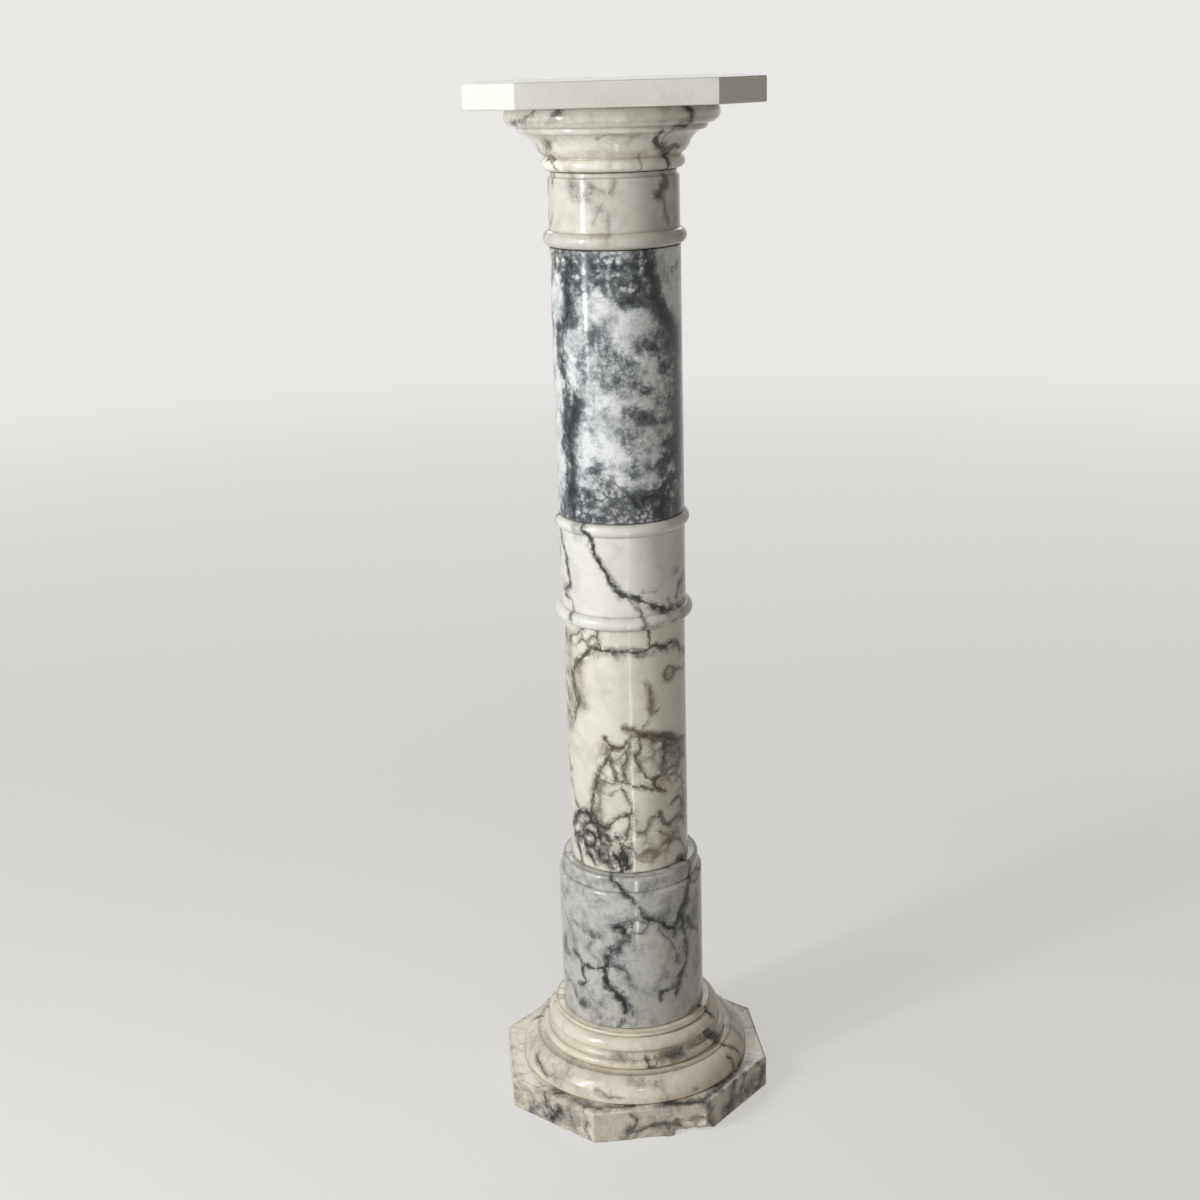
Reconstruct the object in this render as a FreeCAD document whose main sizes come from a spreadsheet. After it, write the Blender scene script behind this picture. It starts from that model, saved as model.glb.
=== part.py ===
"""Turned marble pedestal column: nine stones threaded on an iron tie rod, and a top that turns.

The stones stand on one axis, +Z up, with the origin in the middle of the plinth's underside.
A thin bed of setting plaster lies in every fixed joint. A nut in a recess under the plinth and
one in a recess in the capital draw the stones together. The plain top end of the rod is the
pivot on which the clipped square top turns.
"""
import FreeCAD, Part
import math
import operator
import os

import Sketcher

# Driving dimensions in millimetres, and one angle in degrees.
SIZES = (
    ("bed_thickness", 0.8, "setting plaster in each fixed joint"),
    ("bed_inset", 1.2, "plaster stops this far inside the narrower stone"),
    ("bore_radius", 8.0, "hole drilled through every stone for the rod"),
    ("rod_radius", 6.0, "iron tie rod, and the pivot at its top"),
    ("rod_point", 1.0, "bevel on both ends of the rod"),
    ("thread_fit", 0.05, "gap between the rod and what is screwed or slipped on it"),
    ("nut_circumradius", 11.0, "corners of the square-cut hexagon nuts"),
    ("nut_height", 10.0, "both nuts"),
    ("washer_thickness", 2.5, "iron washers under both nuts"),
    ("washer_radius", 17.0, "iron washers under both nuts"),
    ("recess_radius", 20.0, "recesses that take the nuts"),
    ("plinth_recess", 18.0, "depth of the recess under the plinth"),
    ("capital_recess", 14.0, "depth of the recess in the capital"),
    ("rod_end_lift", 3.0, "lower end of the rod above the floor"),
    ("plinth_width", 272.0, "across the flats of the octagon, from side to side"),
    ("plinth_depth", 256.0, "across the flats, from front to back"),
    ("plinth_clip", 77.5, "cut off each corner, along the side"),
    ("plinth_height", 35.6, ""),
    ("plinth_arris", 2.5, "worn round on the edges of the plinth"),
    ("torus_radius", 121.0, "widest part of the base moulding"),
    ("torus_round", 23.0, "big round of the base moulding"),
    ("torus_lip", 1.5, "small round at its foot"),
    ("collar_bead_radius", 98.0, "bead at the foot of the base collar"),
    ("collar_bead_round", 4.4, ""),
    ("scotia_foot_radius", 92.6, "hollow above the bead, at its lower edge"),
    ("scotia_head_radius", 89.6, "hollow above the bead, at its upper edge"),
    ("scotia_height", 10.2, ""),
    ("scotia_round", 6.0, "radius of the hollow"),
    ("collar_ovolo_radius", 91.4, "swelling above the hollow"),
    ("collar_ovolo_foot", 1.2, "upright edge under the swelling"),
    ("collar_ovolo_round", 9.2, ""),
    ("collar_quirk", 0.8, "small step between the swelling and the top ring"),
    ("collar_ring_radius", 83.6, "ring on which the socle stands"),
    ("collar_ring_round", 2.4, ""),
    ("socle_radius", 75.1, ""),
    ("socle_body_height", 151.4, "up to the start of the lower shoulder"),
    ("socle_shoulder_round", 4.0, "both rounds of the stepped shoulder"),
    ("socle_ring_height", 12.0, "upright edge of the shoulder's upper step"),
    ("lower_shaft_radius", 61.0, ""),
    ("lower_shaft_height", 259.8, ""),
    ("shaft_radius", 62.3, "upper shaft and the drum of the middle collar"),
    ("middle_collar_height", 106.8, ""),
    ("middle_foot_round", 6.8, "bead at the foot of the middle collar"),
    ("middle_head_radius", 66.9, "bead at the head of the middle collar"),
    ("middle_head_round", 6.6, ""),
    ("middle_head_rise", 6.3, "from the drum's end up to the middle of that bead"),
    ("upper_shaft_height", 256.8, ""),
    ("neck_radius", 61.9, ""),
    ("neck_height", 68.1, ""),
    ("neck_bead_radius", 68.2, "bead at the foot of the neck"),
    ("neck_bead_round", 7.4, ""),
    ("neck_bead_rise", 7.3, "from the middle of that bead up to the drum"),
    ("neck_fillet_radius", 59.4, "sunk ring under the capital"),
    ("neck_fillet_height", 4.6, ""),
    ("neck_shoulder_round", 1.5, ""),
    ("capital_height", 56.7, ""),
    ("capital_bead_radius", 67.4, "bead at the foot of the capital"),
    ("capital_bead_round", 6.1, ""),
    ("capital_bead_rise", 5.4, "from the middle of that bead up to the groove"),
    ("groove_radius", 64.2, "bottom of the groove above the bead"),
    ("groove_height", 1.0, ""),
    ("cyma_foot_rise", 9.8, "swelling half of the double curve"),
    ("cyma_middle_radius", 72.1, "where the curve changes from swelling to hollow"),
    ("cyma_foot_round", 19.0, ""),
    ("cyma_head_rise", 11.4, "hollow half of the double curve"),
    ("cyma_head_radius", 84.7, ""),
    ("cyma_head_round", 20.0, ""),
    ("band_radius", 88.8, "narrow band under the big round"),
    ("band_rise", 3.6, "underside of the band"),
    ("band_round", 4.2, ""),
    ("band_height", 2.4, "upright edge of the band"),
    ("ovolo_foot_radius", 91.1, "big round of the capital, at its lower edge"),
    ("ovolo_radius", 100.5, "big round of the capital, at its widest"),
    ("ovolo_round", 9.6, ""),
    ("ovolo_head_radius", 96.1, "big round of the capital, at its upper edge"),
    ("ovolo_head_round", 8.2, ""),
    ("slip_thickness", 0.9, "brass disc between the capital and the top"),
    ("slip_radius", 30.0, ""),
    ("slip_gap", 0.5, "between the rod and the disc or a washer"),
    ("plate_width", 266.0, "across the flats of the square top"),
    ("plate_clip", 46.0, "cut off each corner, along the side"),
    ("plate_thickness", 22.6, ""),
    ("plate_arris", 1.6, "worn round on the edges of the top"),
    ("plate_turn", 4.4, "degrees the top stands turned, clockwise from above"),
    ("bush_radius", 11.0, "outside of the bush let into the top"),
    ("bush_depth", 15.5, "bush above the flange's lower face"),
    ("flange_radius", 28.0, "flange of the bush, which slides on the brass disc"),
    ("flange_thickness", 2.0, ""),
    ("setting_gap", 1.0, "plaster round the bush"),
    ("socket_spare", 1.0, "room above the bush"),
    ("pivot_spare", 1.5, "room above the end of the rod"),
)

OPERATIONS = {"+": operator.add, "-": operator.sub, "*": operator.mul, "/": operator.truediv}


class Size:
    """A length that carries its value and the sheet expression that gives it."""

    def __init__(self, value, text):
        self.value = value
        self.text = text

    def __add__(self, other):
        return combined(self, "+", other)

    def __sub__(self, other):
        return combined(self, "-", other)

    def __mul__(self, other):
        return combined(self, "*", other)

    def __truediv__(self, other):
        return combined(self, "/", other)


def as_size(number):
    return number if isinstance(number, Size) else Size(float(number), str(number))


def combined(left, sign, right):
    left = as_size(left)
    right = as_size(right)
    value = OPERATIONS[sign](left.value, right.value)
    return Size(value, "({} {} {})".format(left.text, sign, right.text))


def fill_sheet(doc):
    """Write the driving dimensions to the sheet and return them by name."""
    sheet = doc.addObject("Spreadsheet::Sheet", "Sizes")
    sizes = {}
    for row, (name, value, note) in enumerate(SIZES, start=1):
        sheet.set("A{}".format(row), name)
        sheet.set("B{}".format(row), str(value))
        sheet.set("C{}".format(row), note)
        sheet.setAlias("B{}".format(row), name)
        sizes[name] = Size(value, "Sizes.{}".format(name))
    doc.recompute()
    return sizes


# ---- sketches -------------------------------------------------------------------------------

def new_sketch(body, name, plane_role):
    sketch = body.newObject("Sketcher::SketchObject", name)
    for plane in body.Origin.OriginFeatures:
        if plane.Role == plane_role:
            sketch.AttachmentSupport = [(plane, "")]
    sketch.MapMode = "FlatFace"
    return sketch


def bind(sketch, constraint, size):
    """Add a constraint with a datum and tie that datum to the sheet."""
    index = sketch.addConstraint(Sketcher.Constraint(*constraint, size.value))
    sketch.setExpression("Constraints[{}]".format(index), size.text)


def pin(sketch, edge, end, kind, size):
    """Hold one coordinate of an edge's end at a distance from the sketch's origin."""
    if size.value == 0:
        axis = -2 if kind == "DistanceX" else -1
        sketch.addConstraint(Sketcher.Constraint("PointOnObject", edge, end, axis))
    elif size.value > 0:
        bind(sketch, (kind, -1, 1, edge, end), size)
    else:
        bind(sketch, (kind, edge, end, -1, 1), as_size(0) - size)


def arc_geometry(start, end, radius):
    """The short arc from start to end; a negative radius turns it to the right."""
    chord = end - start
    reach = math.sqrt(radius * radius - chord.Length ** 2 / 4)
    left = FreeCAD.Vector(-chord.y, chord.x, 0).normalize()
    centre = (start + end) * 0.5 + left * math.copysign(reach, radius)
    if radius < 0:
        start, end = end, start
    angles = [math.atan2(p.y - centre.y, p.x - centre.x) for p in (start, end)]
    circle = Part.Circle(centre, FreeCAD.Vector(0, 0, 1), abs(radius))
    return Part.ArcOfCircle(circle, *angles)


def draw_outline(sketch, steps):
    """Draw a closed outline. A step is (x, y) for a straight run to that point, or
    (x, y, radius) for an arc to it: a swelling one, or with a minus a hollow one."""
    corners = [FreeCAD.Vector(step[0].value, step[1].value, 0) for step in steps]
    ends = []
    for number, step in enumerate(steps):
        start = corners[number - 1]
        end = corners[number]
        if len(step) == 2:
            edge = sketch.addGeometry(Part.LineSegment(start, end), False)
            ends.append((edge, 1, 2))
            continue
        radius = step[2]
        edge = sketch.addGeometry(arc_geometry(start, end, radius.value), False)
        ends.append((edge, 1, 2) if radius.value > 0 else (edge, 2, 1))
    for number, (edge, first, last) in enumerate(ends):
        before = ends[number - 1]
        sketch.addConstraint(
            Sketcher.Constraint("Coincident", before[0], before[2], edge, first))
        pin(sketch, edge, last, "DistanceX", steps[number][0])
        pin(sketch, edge, last, "DistanceY", steps[number][1])
        if len(steps[number]) == 3:
            radius = steps[number][2]
            size = radius if radius.value > 0 else as_size(0) - radius
            bind(sketch, ("Radius", edge), size)


def hollow(radius):
    return as_size(0) - radius


# ---- kinds of piece -------------------------------------------------------------------------

def new_body(doc, name, height):
    """A body whose underside stands at the given height."""
    body = doc.addObject("PartDesign::Body", name)
    body.Label = name
    body.setExpression("Placement.Base.z", height.text)
    return body


def turned(doc, name, height, steps):
    """A piece turned on the lathe, from its half section beside the axis."""
    body = new_body(doc, name, height)
    sketch = new_sketch(body, name + "_section", "XZ_Plane")
    draw_outline(sketch, steps)
    turning = body.newObject("PartDesign::Revolution", name + "_turning")
    turning.Profile = sketch
    turning.ReferenceAxis = (sketch, ["V_Axis"])
    turning.Angle = 360
    sketch.Visibility = False
    return body


def tube(doc, name, height, outer, inner, length):
    """A plain ring: one cylinder cut out of another."""
    blank = doc.addObject("Part::Cylinder", name + "_blank")
    hole = doc.addObject("Part::Cylinder", name + "_hole")
    for cylinder, radius in ((blank, outer), (hole, inner)):
        cylinder.setExpression("Radius", radius.text)
        cylinder.setExpression("Height", length.text)
        cylinder.setExpression("Placement.Base.z", height.text)
    ring = doc.addObject("Part::Cut", name)
    ring.Label = name
    ring.Base = blank
    ring.Tool = hole
    return ring


def nut(doc, name, height, sizes):
    """A hexagon nut with its bore."""
    blank = doc.addObject("Part::Prism", name + "_blank")
    blank.Polygon = 6
    blank.setExpression("Circumradius", sizes["nut_circumradius"].text)
    blank.setExpression("Height", sizes["nut_height"].text)
    hole = doc.addObject("Part::Cylinder", name + "_hole")
    hole.setExpression("Radius", (sizes["rod_radius"] + sizes["thread_fit"]).text)
    hole.setExpression("Height", sizes["nut_height"].text)
    for solid in (blank, hole):
        solid.setExpression("Placement.Base.z", height.text)
    piece = doc.addObject("Part::Cut", name)
    piece.Label = name
    piece.Base = blank
    piece.Tool = hole
    return piece


def sawn_slab(doc, name, height, width, depth, clip, thickness, arris):
    """A slab with its four corners cut off and all its edges worn round."""
    body = new_body(doc, name, height)
    sketch = new_sketch(body, name + "_plan", "XY_Plane")
    right = width / 2
    back = depth / 2
    left = as_size(0) - right
    front = as_size(0) - back
    draw_outline(sketch, (
        (right - clip, front), (right, front + clip), (right, back - clip),
        (right - clip, back), (left + clip, back), (left, back - clip),
        (left, front + clip), (left + clip, front)))
    pad = body.newObject("PartDesign::Pad", name + "_slab")
    pad.Profile = sketch
    pad.setExpression("Length", thickness.text)
    doc.recompute()
    rounding = body.newObject("PartDesign::Fillet", name + "_arris")
    edges = ["Edge{}".format(n + 1) for n in range(len(pad.Shape.Edges))]
    rounding.Base = (pad, edges)
    rounding.setExpression("Radius", arris.text)
    return body


def drill(doc, body, name, radius, depth=None):
    """Sink a round hole up into a slab from its underside, or right through it."""
    sketch = new_sketch(body, name + "_circle", "XY_Plane")
    circle = Part.Circle(FreeCAD.Vector(0, 0, 0), FreeCAD.Vector(0, 0, 1), radius.value)
    sketch.addGeometry(circle, False)
    sketch.addConstraint(Sketcher.Constraint("Coincident", 0, 3, -1, 1))
    bind(sketch, ("Radius", 0), radius)
    hole = body.newObject("PartDesign::Pocket", name)
    hole.Profile = sketch
    hole.Reversed = True
    if depth is None:
        hole.Type = "ThroughAll"
    else:
        hole.setExpression("Length", depth.text)
    doc.recompute()


# ---- the stones, from the floor up ----------------------------------------------------------

def plinth(doc, sizes, height):
    """Eight-sided slab with the recess for the lower nut."""
    depth = sizes["plinth_depth"]
    body = sawn_slab(doc, "plinth", height, sizes["plinth_width"], depth,
                     sizes["plinth_clip"], sizes["plinth_height"], sizes["plinth_arris"])
    drill(doc, body, "plinth_bore", sizes["bore_radius"])
    drill(doc, body, "plinth_nut_recess", sizes["recess_radius"], sizes["plinth_recess"])
    flat = depth / 2 - sizes["plinth_arris"]
    return sizes["plinth_height"], flat, flat


def base_torus(doc, sizes, height):
    """Big round moulding, widest just above its foot."""
    bore = sizes["bore_radius"]
    wide = sizes["torus_radius"]
    lip = sizes["torus_lip"]
    head = lip + sizes["torus_round"]
    zero = as_size(0)
    turned(doc, "base_torus", height, (
        (bore, zero),
        (wide - lip, zero),
        (wide, lip, lip),
        (wide - sizes["torus_round"], head, sizes["torus_round"]),
        (bore, head)))
    return head, wide - lip, wide - sizes["torus_round"]


def base_collar(doc, sizes, height):
    """Bead, hollow, swelling and top ring under the socle."""
    bore = sizes["bore_radius"]
    zero = as_size(0)
    bead = sizes["collar_bead_round"]
    bead_middle = sizes["collar_bead_radius"] - bead
    scotia_head = bead * 2 + sizes["scotia_height"]
    swelling = scotia_head + sizes["collar_ovolo_foot"]
    swelling_head = swelling + sizes["collar_ovolo_round"]
    ring = sizes["collar_ring_round"]
    ring_middle = sizes["collar_ring_radius"] - ring
    ring_foot = swelling_head + sizes["collar_quirk"]
    head = ring_foot + ring * 2
    turned(doc, "base_collar", height, (
        (bore, zero),
        (bead_middle, zero),
        (sizes["collar_bead_radius"], bead, bead),
        (bead_middle, bead * 2, bead),
        (sizes["scotia_foot_radius"], bead * 2),
        (sizes["scotia_head_radius"], scotia_head, hollow(sizes["scotia_round"])),
        (sizes["collar_ovolo_radius"], scotia_head),
        (sizes["collar_ovolo_radius"], swelling),
        (sizes["collar_ovolo_radius"] - sizes["collar_ovolo_round"], swelling_head,
         sizes["collar_ovolo_round"]),
        (ring_middle, swelling_head),
        (ring_middle, ring_foot),
        (sizes["collar_ring_radius"], ring_foot + ring, ring),
        (ring_middle, head, ring),
        (bore, head)))
    return head, bead_middle, ring_middle


def socle_drum(doc, sizes, height):
    """Drum with a stepped and rounded shoulder."""
    bore = sizes["bore_radius"]
    zero = as_size(0)
    wide = sizes["socle_radius"]
    body_head = sizes["socle_body_height"]
    shoulder = sizes["socle_shoulder_round"]
    step = body_head + shoulder
    ring_head = step + sizes["socle_ring_height"]
    head = ring_head + shoulder
    turned(doc, "socle_drum", height, (
        (bore, zero),
        (wide, zero),
        (wide, body_head),
        (wide - shoulder, step, shoulder),
        (wide - shoulder, ring_head),
        (wide - shoulder * 2, head, shoulder),
        (bore, head)))
    return head, wide, wide - shoulder * 2


def plain_shaft(doc, name, height, radius, length, bore):
    """One plain length of the shaft."""
    zero = as_size(0)
    turned(doc, name, height, ((bore, zero), (radius, zero), (radius, length), (bore, length)))
    return length, radius, radius


def lower_shaft(doc, sizes, height):
    return plain_shaft(doc, "lower_shaft", height, sizes["lower_shaft_radius"],
                       sizes["lower_shaft_height"], sizes["bore_radius"])


def upper_shaft(doc, sizes, height):
    return plain_shaft(doc, "upper_shaft", height, sizes["shaft_radius"],
                       sizes["upper_shaft_height"], sizes["bore_radius"])


def middle_collar(doc, sizes, height):
    """Short drum between two beads."""
    bore = sizes["bore_radius"]
    zero = as_size(0)
    drum = sizes["shaft_radius"]
    foot = sizes["middle_foot_round"]
    head = sizes["middle_head_round"]
    head_radius = sizes["middle_head_radius"]
    top = sizes["middle_collar_height"]
    turned(doc, "middle_collar", height, (
        (bore, zero),
        (drum, zero),
        (drum + foot, foot, foot),
        (drum, foot * 2, foot),
        (drum, top - head - sizes["middle_head_rise"]),
        (head_radius, top - head, head),
        (head_radius - head, top, head),
        (bore, top)))
    return top, drum, head_radius - head


def neck_drum(doc, sizes, height):
    """Drum with a bead at its foot and a sunk ring at its head."""
    bore = sizes["bore_radius"]
    zero = as_size(0)
    wide = sizes["neck_bead_radius"]
    bead = sizes["neck_bead_round"]
    drum = sizes["neck_radius"]
    shoulder = sizes["neck_shoulder_round"]
    top = sizes["neck_height"]
    fillet_foot = top - sizes["neck_fillet_height"]
    turned(doc, "neck_drum", height, (
        (bore, zero),
        (wide - bead, zero),
        (wide, bead, bead),
        (drum, bead + sizes["neck_bead_rise"], bead),
        (drum, fillet_foot - shoulder),
        (drum - shoulder, fillet_foot, shoulder),
        (sizes["neck_fillet_radius"], fillet_foot),
        (sizes["neck_fillet_radius"], top),
        (bore, top)))
    return top, wide - bead, sizes["neck_fillet_radius"]


def capital(doc, sizes, height):
    """Bead, groove, double curve, band and big round, with the recess for the upper nut."""
    bore = sizes["bore_radius"]
    zero = as_size(0)
    bead = sizes["capital_bead_round"]
    wide = sizes["capital_bead_radius"]
    groove = bead + sizes["capital_bead_rise"]
    cyma_foot = groove + sizes["groove_height"]
    cyma_middle = cyma_foot + sizes["cyma_foot_rise"]
    cyma_head = cyma_middle + sizes["cyma_head_rise"]
    band = cyma_head + sizes["band_rise"]
    band_head = band + sizes["band_height"]
    widest = band_head + sizes["ovolo_round"]
    top = sizes["capital_height"]
    recess_floor = top - sizes["capital_recess"]
    turned(doc, "capital", height, (
        (bore, zero),
        (wide - bead, zero),
        (wide, bead, bead),
        (sizes["groove_radius"], groove, bead),
        (sizes["groove_radius"], cyma_foot),
        (sizes["cyma_middle_radius"], cyma_middle, sizes["cyma_foot_round"]),
        (sizes["cyma_head_radius"], cyma_head, hollow(sizes["cyma_head_round"])),
        (sizes["band_radius"], band, sizes["band_round"]),
        (sizes["band_radius"], band_head),
        (sizes["ovolo_foot_radius"], band_head),
        (sizes["ovolo_radius"], widest, sizes["ovolo_round"]),
        (sizes["ovolo_head_radius"], top, sizes["ovolo_head_round"]),
        (sizes["recess_radius"], top),
        (sizes["recess_radius"], recess_floor),
        (bore, recess_floor)))
    return top, wide - bead, sizes["ovolo_head_radius"]


def top_plate(doc, sizes, height):
    """Square top with clipped corners and the blind socket for the bush."""
    width = sizes["plate_width"]
    body = sawn_slab(doc, "top_plate", height, width, width, sizes["plate_clip"],
                     sizes["plate_thickness"], sizes["plate_arris"])
    drill(doc, body, "top_plate_socket", sizes["bush_radius"] + sizes["setting_gap"],
          sizes["bush_depth"] + sizes["socket_spare"])
    drill(doc, body, "top_plate_flange_seat", sizes["flange_radius"] + sizes["setting_gap"] / 2,
          sizes["flange_thickness"])
    clockwise = FreeCAD.Rotation(FreeCAD.Vector(0, 0, -1), sizes["plate_turn"].value)
    body.Placement = FreeCAD.Placement(FreeCAD.Vector(0, 0, height.value), clockwise)
    body.setExpression("Placement.Rotation.Angle", sizes["plate_turn"].text)


# ---- the ironwork ---------------------------------------------------------------------------

def tie_rod(doc, sizes, height, top):
    """Long rod, bevelled at both ends; its plain top is the pivot."""
    radius = sizes["rod_radius"]
    point = sizes["rod_point"]
    length = top - height
    zero = as_size(0)
    turned(doc, "tie_rod", height, (
        (zero, zero),
        (radius - point, zero),
        (radius, point),
        (radius, length - point),
        (radius - point, length),
        (zero, length)))


def pivot_bush(doc, sizes, height):
    """Flanged iron bush that runs on the end of the rod."""
    inner = sizes["rod_radius"] + sizes["thread_fit"]
    zero = as_size(0)
    turned(doc, "pivot_bush", height, (
        (inner, zero),
        (sizes["flange_radius"], zero),
        (sizes["flange_radius"], sizes["flange_thickness"]),
        (sizes["bush_radius"], sizes["flange_thickness"]),
        (sizes["bush_radius"], sizes["bush_depth"]),
        (inner, sizes["bush_depth"])))


def washer(doc, name, height, sizes):
    tube(doc, name, height, sizes["washer_radius"], sizes["rod_radius"] + sizes["slip_gap"],
         sizes["washer_thickness"])


def ironwork(doc, sizes, capital_top, plate_foot):
    """The rod with its nuts and washers, and the bearing of the top."""
    rod_foot = sizes["rod_end_lift"]
    socket_depth = sizes["bush_depth"] + sizes["socket_spare"]
    tie_rod(doc, sizes, rod_foot, plate_foot + socket_depth - sizes["pivot_spare"])
    lower_washer = sizes["plinth_recess"] - sizes["washer_thickness"]
    washer(doc, "lower_washer", lower_washer, sizes)
    nut(doc, "lower_nut", lower_washer - sizes["nut_height"], sizes)
    upper_washer = capital_top - sizes["capital_recess"]
    washer(doc, "upper_washer", upper_washer, sizes)
    nut(doc, "upper_nut", upper_washer + sizes["washer_thickness"], sizes)
    tube(doc, "slip_disc", capital_top, sizes["slip_radius"],
         sizes["rod_radius"] + sizes["slip_gap"], sizes["slip_thickness"])
    pivot_bush(doc, sizes, plate_foot)
    tube(doc, "bush_setting", plate_foot + sizes["flange_thickness"],
         sizes["bush_radius"] + sizes["setting_gap"], sizes["bush_radius"],
         sizes["bush_depth"] - sizes["flange_thickness"])


# ---- the whole column -----------------------------------------------------------------------

STONES = (plinth, base_torus, base_collar, socle_drum, lower_shaft, middle_collar,
          upper_shaft, neck_drum, capital)


def build_column(doc):
    """Stack the stones with a bed in each joint, then add the ironwork and the top."""
    sizes = fill_sheet(doc)
    height = as_size(0)
    below = None
    for stone in STONES:
        name = stone.__name__
        bed_foot = height
        if below:
            height = height + sizes["bed_thickness"]
        rise, foot_radius, head_radius = stone(doc, sizes, height)
        if below:
            narrower = min(below[1], foot_radius, key=lambda size: size.value)
            tube(doc, "bed_{}_{}".format(below[0], name), bed_foot,
                 narrower - sizes["bed_inset"], sizes["bore_radius"], sizes["bed_thickness"])
        height = height + rise
        below = (name, head_radius)
    plate_foot = height + sizes["slip_thickness"]
    ironwork(doc, sizes, height, plate_foot)
    top_plate(doc, sizes, plate_foot)
    return plate_foot + sizes["plate_thickness"]


def check_document(doc):
    for item in doc.Objects:
        if "Invalid" in item.State or "Error" in item.State:
            raise RuntimeError("{} did not build: {}".format(item.Name, item.State))


def is_piece(item):
    """A piece of the column is a body, or a cut that stands alone."""
    return item.TypeId in ("PartDesign::Body", "Part::Cut")


def write_pieces(doc):
    """Check each piece's solid and write it to a file of its own."""
    pieces = [item for item in doc.Objects if is_piece(item)]
    for piece in pieces:
        shape = piece.Shape
        if shape.isNull() or not shape.isValid() or len(shape.Solids) != 1:
            raise RuntimeError("{} is not one sound solid".format(piece.Label))
    os.makedirs("parts", exist_ok=True)
    for piece in pieces:
        piece.Shape.exportStep(os.path.join("parts", piece.Label + ".step"))
        box = piece.Shape.optimalBoundingBox()
        print("{:32s} z {:8.2f} to {:8.2f}  width {:7.2f}  {:10.1f} cm3".format(
            piece.Label, box.ZMin, box.ZMax, box.XLength, piece.Shape.Volume / 1000))
    return pieces


def main():
    doc = FreeCAD.newDocument("marble_pedestal_column")
    overall = build_column(doc)
    doc.recompute()
    check_document(doc)
    pieces = write_pieces(doc)
    print("{} pieces, {:.1f} mm high".format(len(pieces), overall.value))
    return doc


main()
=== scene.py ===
"""Pedestal column of polished veined marble: the finish of every stone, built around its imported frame.

Blender's own lengths are metres. Sizes that a name or a comment calls mm are millimetres. A place on a
stone is an angle in degrees, counted from the front (-Y) towards +X, and a height in mm above its foot.
"""

import math
import random
from collections import namedtuple

import bmesh
import bpy
import numpy as np
from mathutils import Matrix, Vector, noise


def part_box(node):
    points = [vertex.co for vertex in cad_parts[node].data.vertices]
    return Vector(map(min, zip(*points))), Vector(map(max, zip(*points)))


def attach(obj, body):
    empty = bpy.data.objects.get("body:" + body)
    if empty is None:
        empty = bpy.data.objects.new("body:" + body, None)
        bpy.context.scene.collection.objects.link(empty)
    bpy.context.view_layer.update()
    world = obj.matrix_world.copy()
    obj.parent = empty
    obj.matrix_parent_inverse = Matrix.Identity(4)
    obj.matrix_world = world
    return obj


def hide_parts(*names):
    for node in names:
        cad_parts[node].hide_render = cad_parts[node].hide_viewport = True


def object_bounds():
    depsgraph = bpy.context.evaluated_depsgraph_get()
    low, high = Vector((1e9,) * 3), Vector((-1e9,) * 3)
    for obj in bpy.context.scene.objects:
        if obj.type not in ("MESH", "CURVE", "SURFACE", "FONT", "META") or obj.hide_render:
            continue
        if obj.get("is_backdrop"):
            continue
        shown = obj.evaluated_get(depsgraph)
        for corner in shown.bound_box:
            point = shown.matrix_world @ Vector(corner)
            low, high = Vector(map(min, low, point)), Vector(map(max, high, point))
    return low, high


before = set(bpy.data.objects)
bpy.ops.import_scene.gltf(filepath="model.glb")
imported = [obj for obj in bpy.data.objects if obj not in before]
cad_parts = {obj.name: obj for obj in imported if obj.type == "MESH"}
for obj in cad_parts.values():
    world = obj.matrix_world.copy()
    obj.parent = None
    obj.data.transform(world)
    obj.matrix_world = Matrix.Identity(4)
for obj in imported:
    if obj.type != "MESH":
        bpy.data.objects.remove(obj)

CAD_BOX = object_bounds()

bl_info = {
    "name": "Marble Pedestal",
    "version": (1, 0, 0),
    "blender": (4, 5, 0),
    "location": "View3D > Sidebar > Pedestal",
    "description": "Builds the stones, finishes and studio of a veined marble pedestal column",
    "category": "Add Mesh",
}

MM = 0.001  # m
COLUMN = "column"
TOP = "top"

# How the meshes are cut
CELL = 1.9  # mm, the side of a mesh cell on a surface that shows
FLAT_CELL = 4.5  # mm, the same on the flat foot or head of a stone
HIDDEN_RADIUS = 34.0  # mm, the bore and its recesses lie inside this
CORNER_TURN = math.radians(24)  # a section that turns by more than this at a point has a corner there
IN_LINE = 0.004  # radians, a point where a loop turns by less lies in line with its neighbours
OUTLINE_TURN = 0.05  # radians, the same for the outline of a slab
WORN_SHARE = 0.3  # of an edge, the most that the wear of a corner takes
ON_AXIS = 1e-4  # mm, a point nearer to the axis lies on it
STRAIGHT = 5.0  # mm, a longer edge of a section is straight and not a facet of a curve
SHARP = math.radians(42)  # faces that meet at more than this have a sharp edge between them

# The two slabs. Foot and head show from the two radii outwards, in mm.
PLINTH_WORN = 1.6  # mm, how far in from the outline its rounded edges keep the outline's shape
PLINTH_SHOWS = (math.inf, 112.0)
PLATE_WORN = 1.4
PLATE_SHOWS = (88.0, 0.0)
PLATE_CORNER = 1.8  # mm, the radius by which the facets of its corners are rounded

# The damage on the plinth's lower front edge, in mm
BREAK_REACH = 12.0  # how far behind the front face it goes
BREAK_TOP = 32.0
LUMP_START = (23.0, 30.0)  # across the front, it deepens over this stretch
LUMP_END = (58.0, 68.0)
LUMP_BROW = 20.5  # the height of its upper edge
LUMP_DEPTH = 8.5
LUMP_LIFT = 2.6  # how far its lower edge is broken away
FLAKE_MIDDLE = -1.5
FLAKE_HEIGHT = 15.0
FLAKE_SPREAD = 4.6  # it is lower by 1 mm this far from its middle, and by 4 mm twice as far
FLAKE_DEPTH = 0.9

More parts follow.
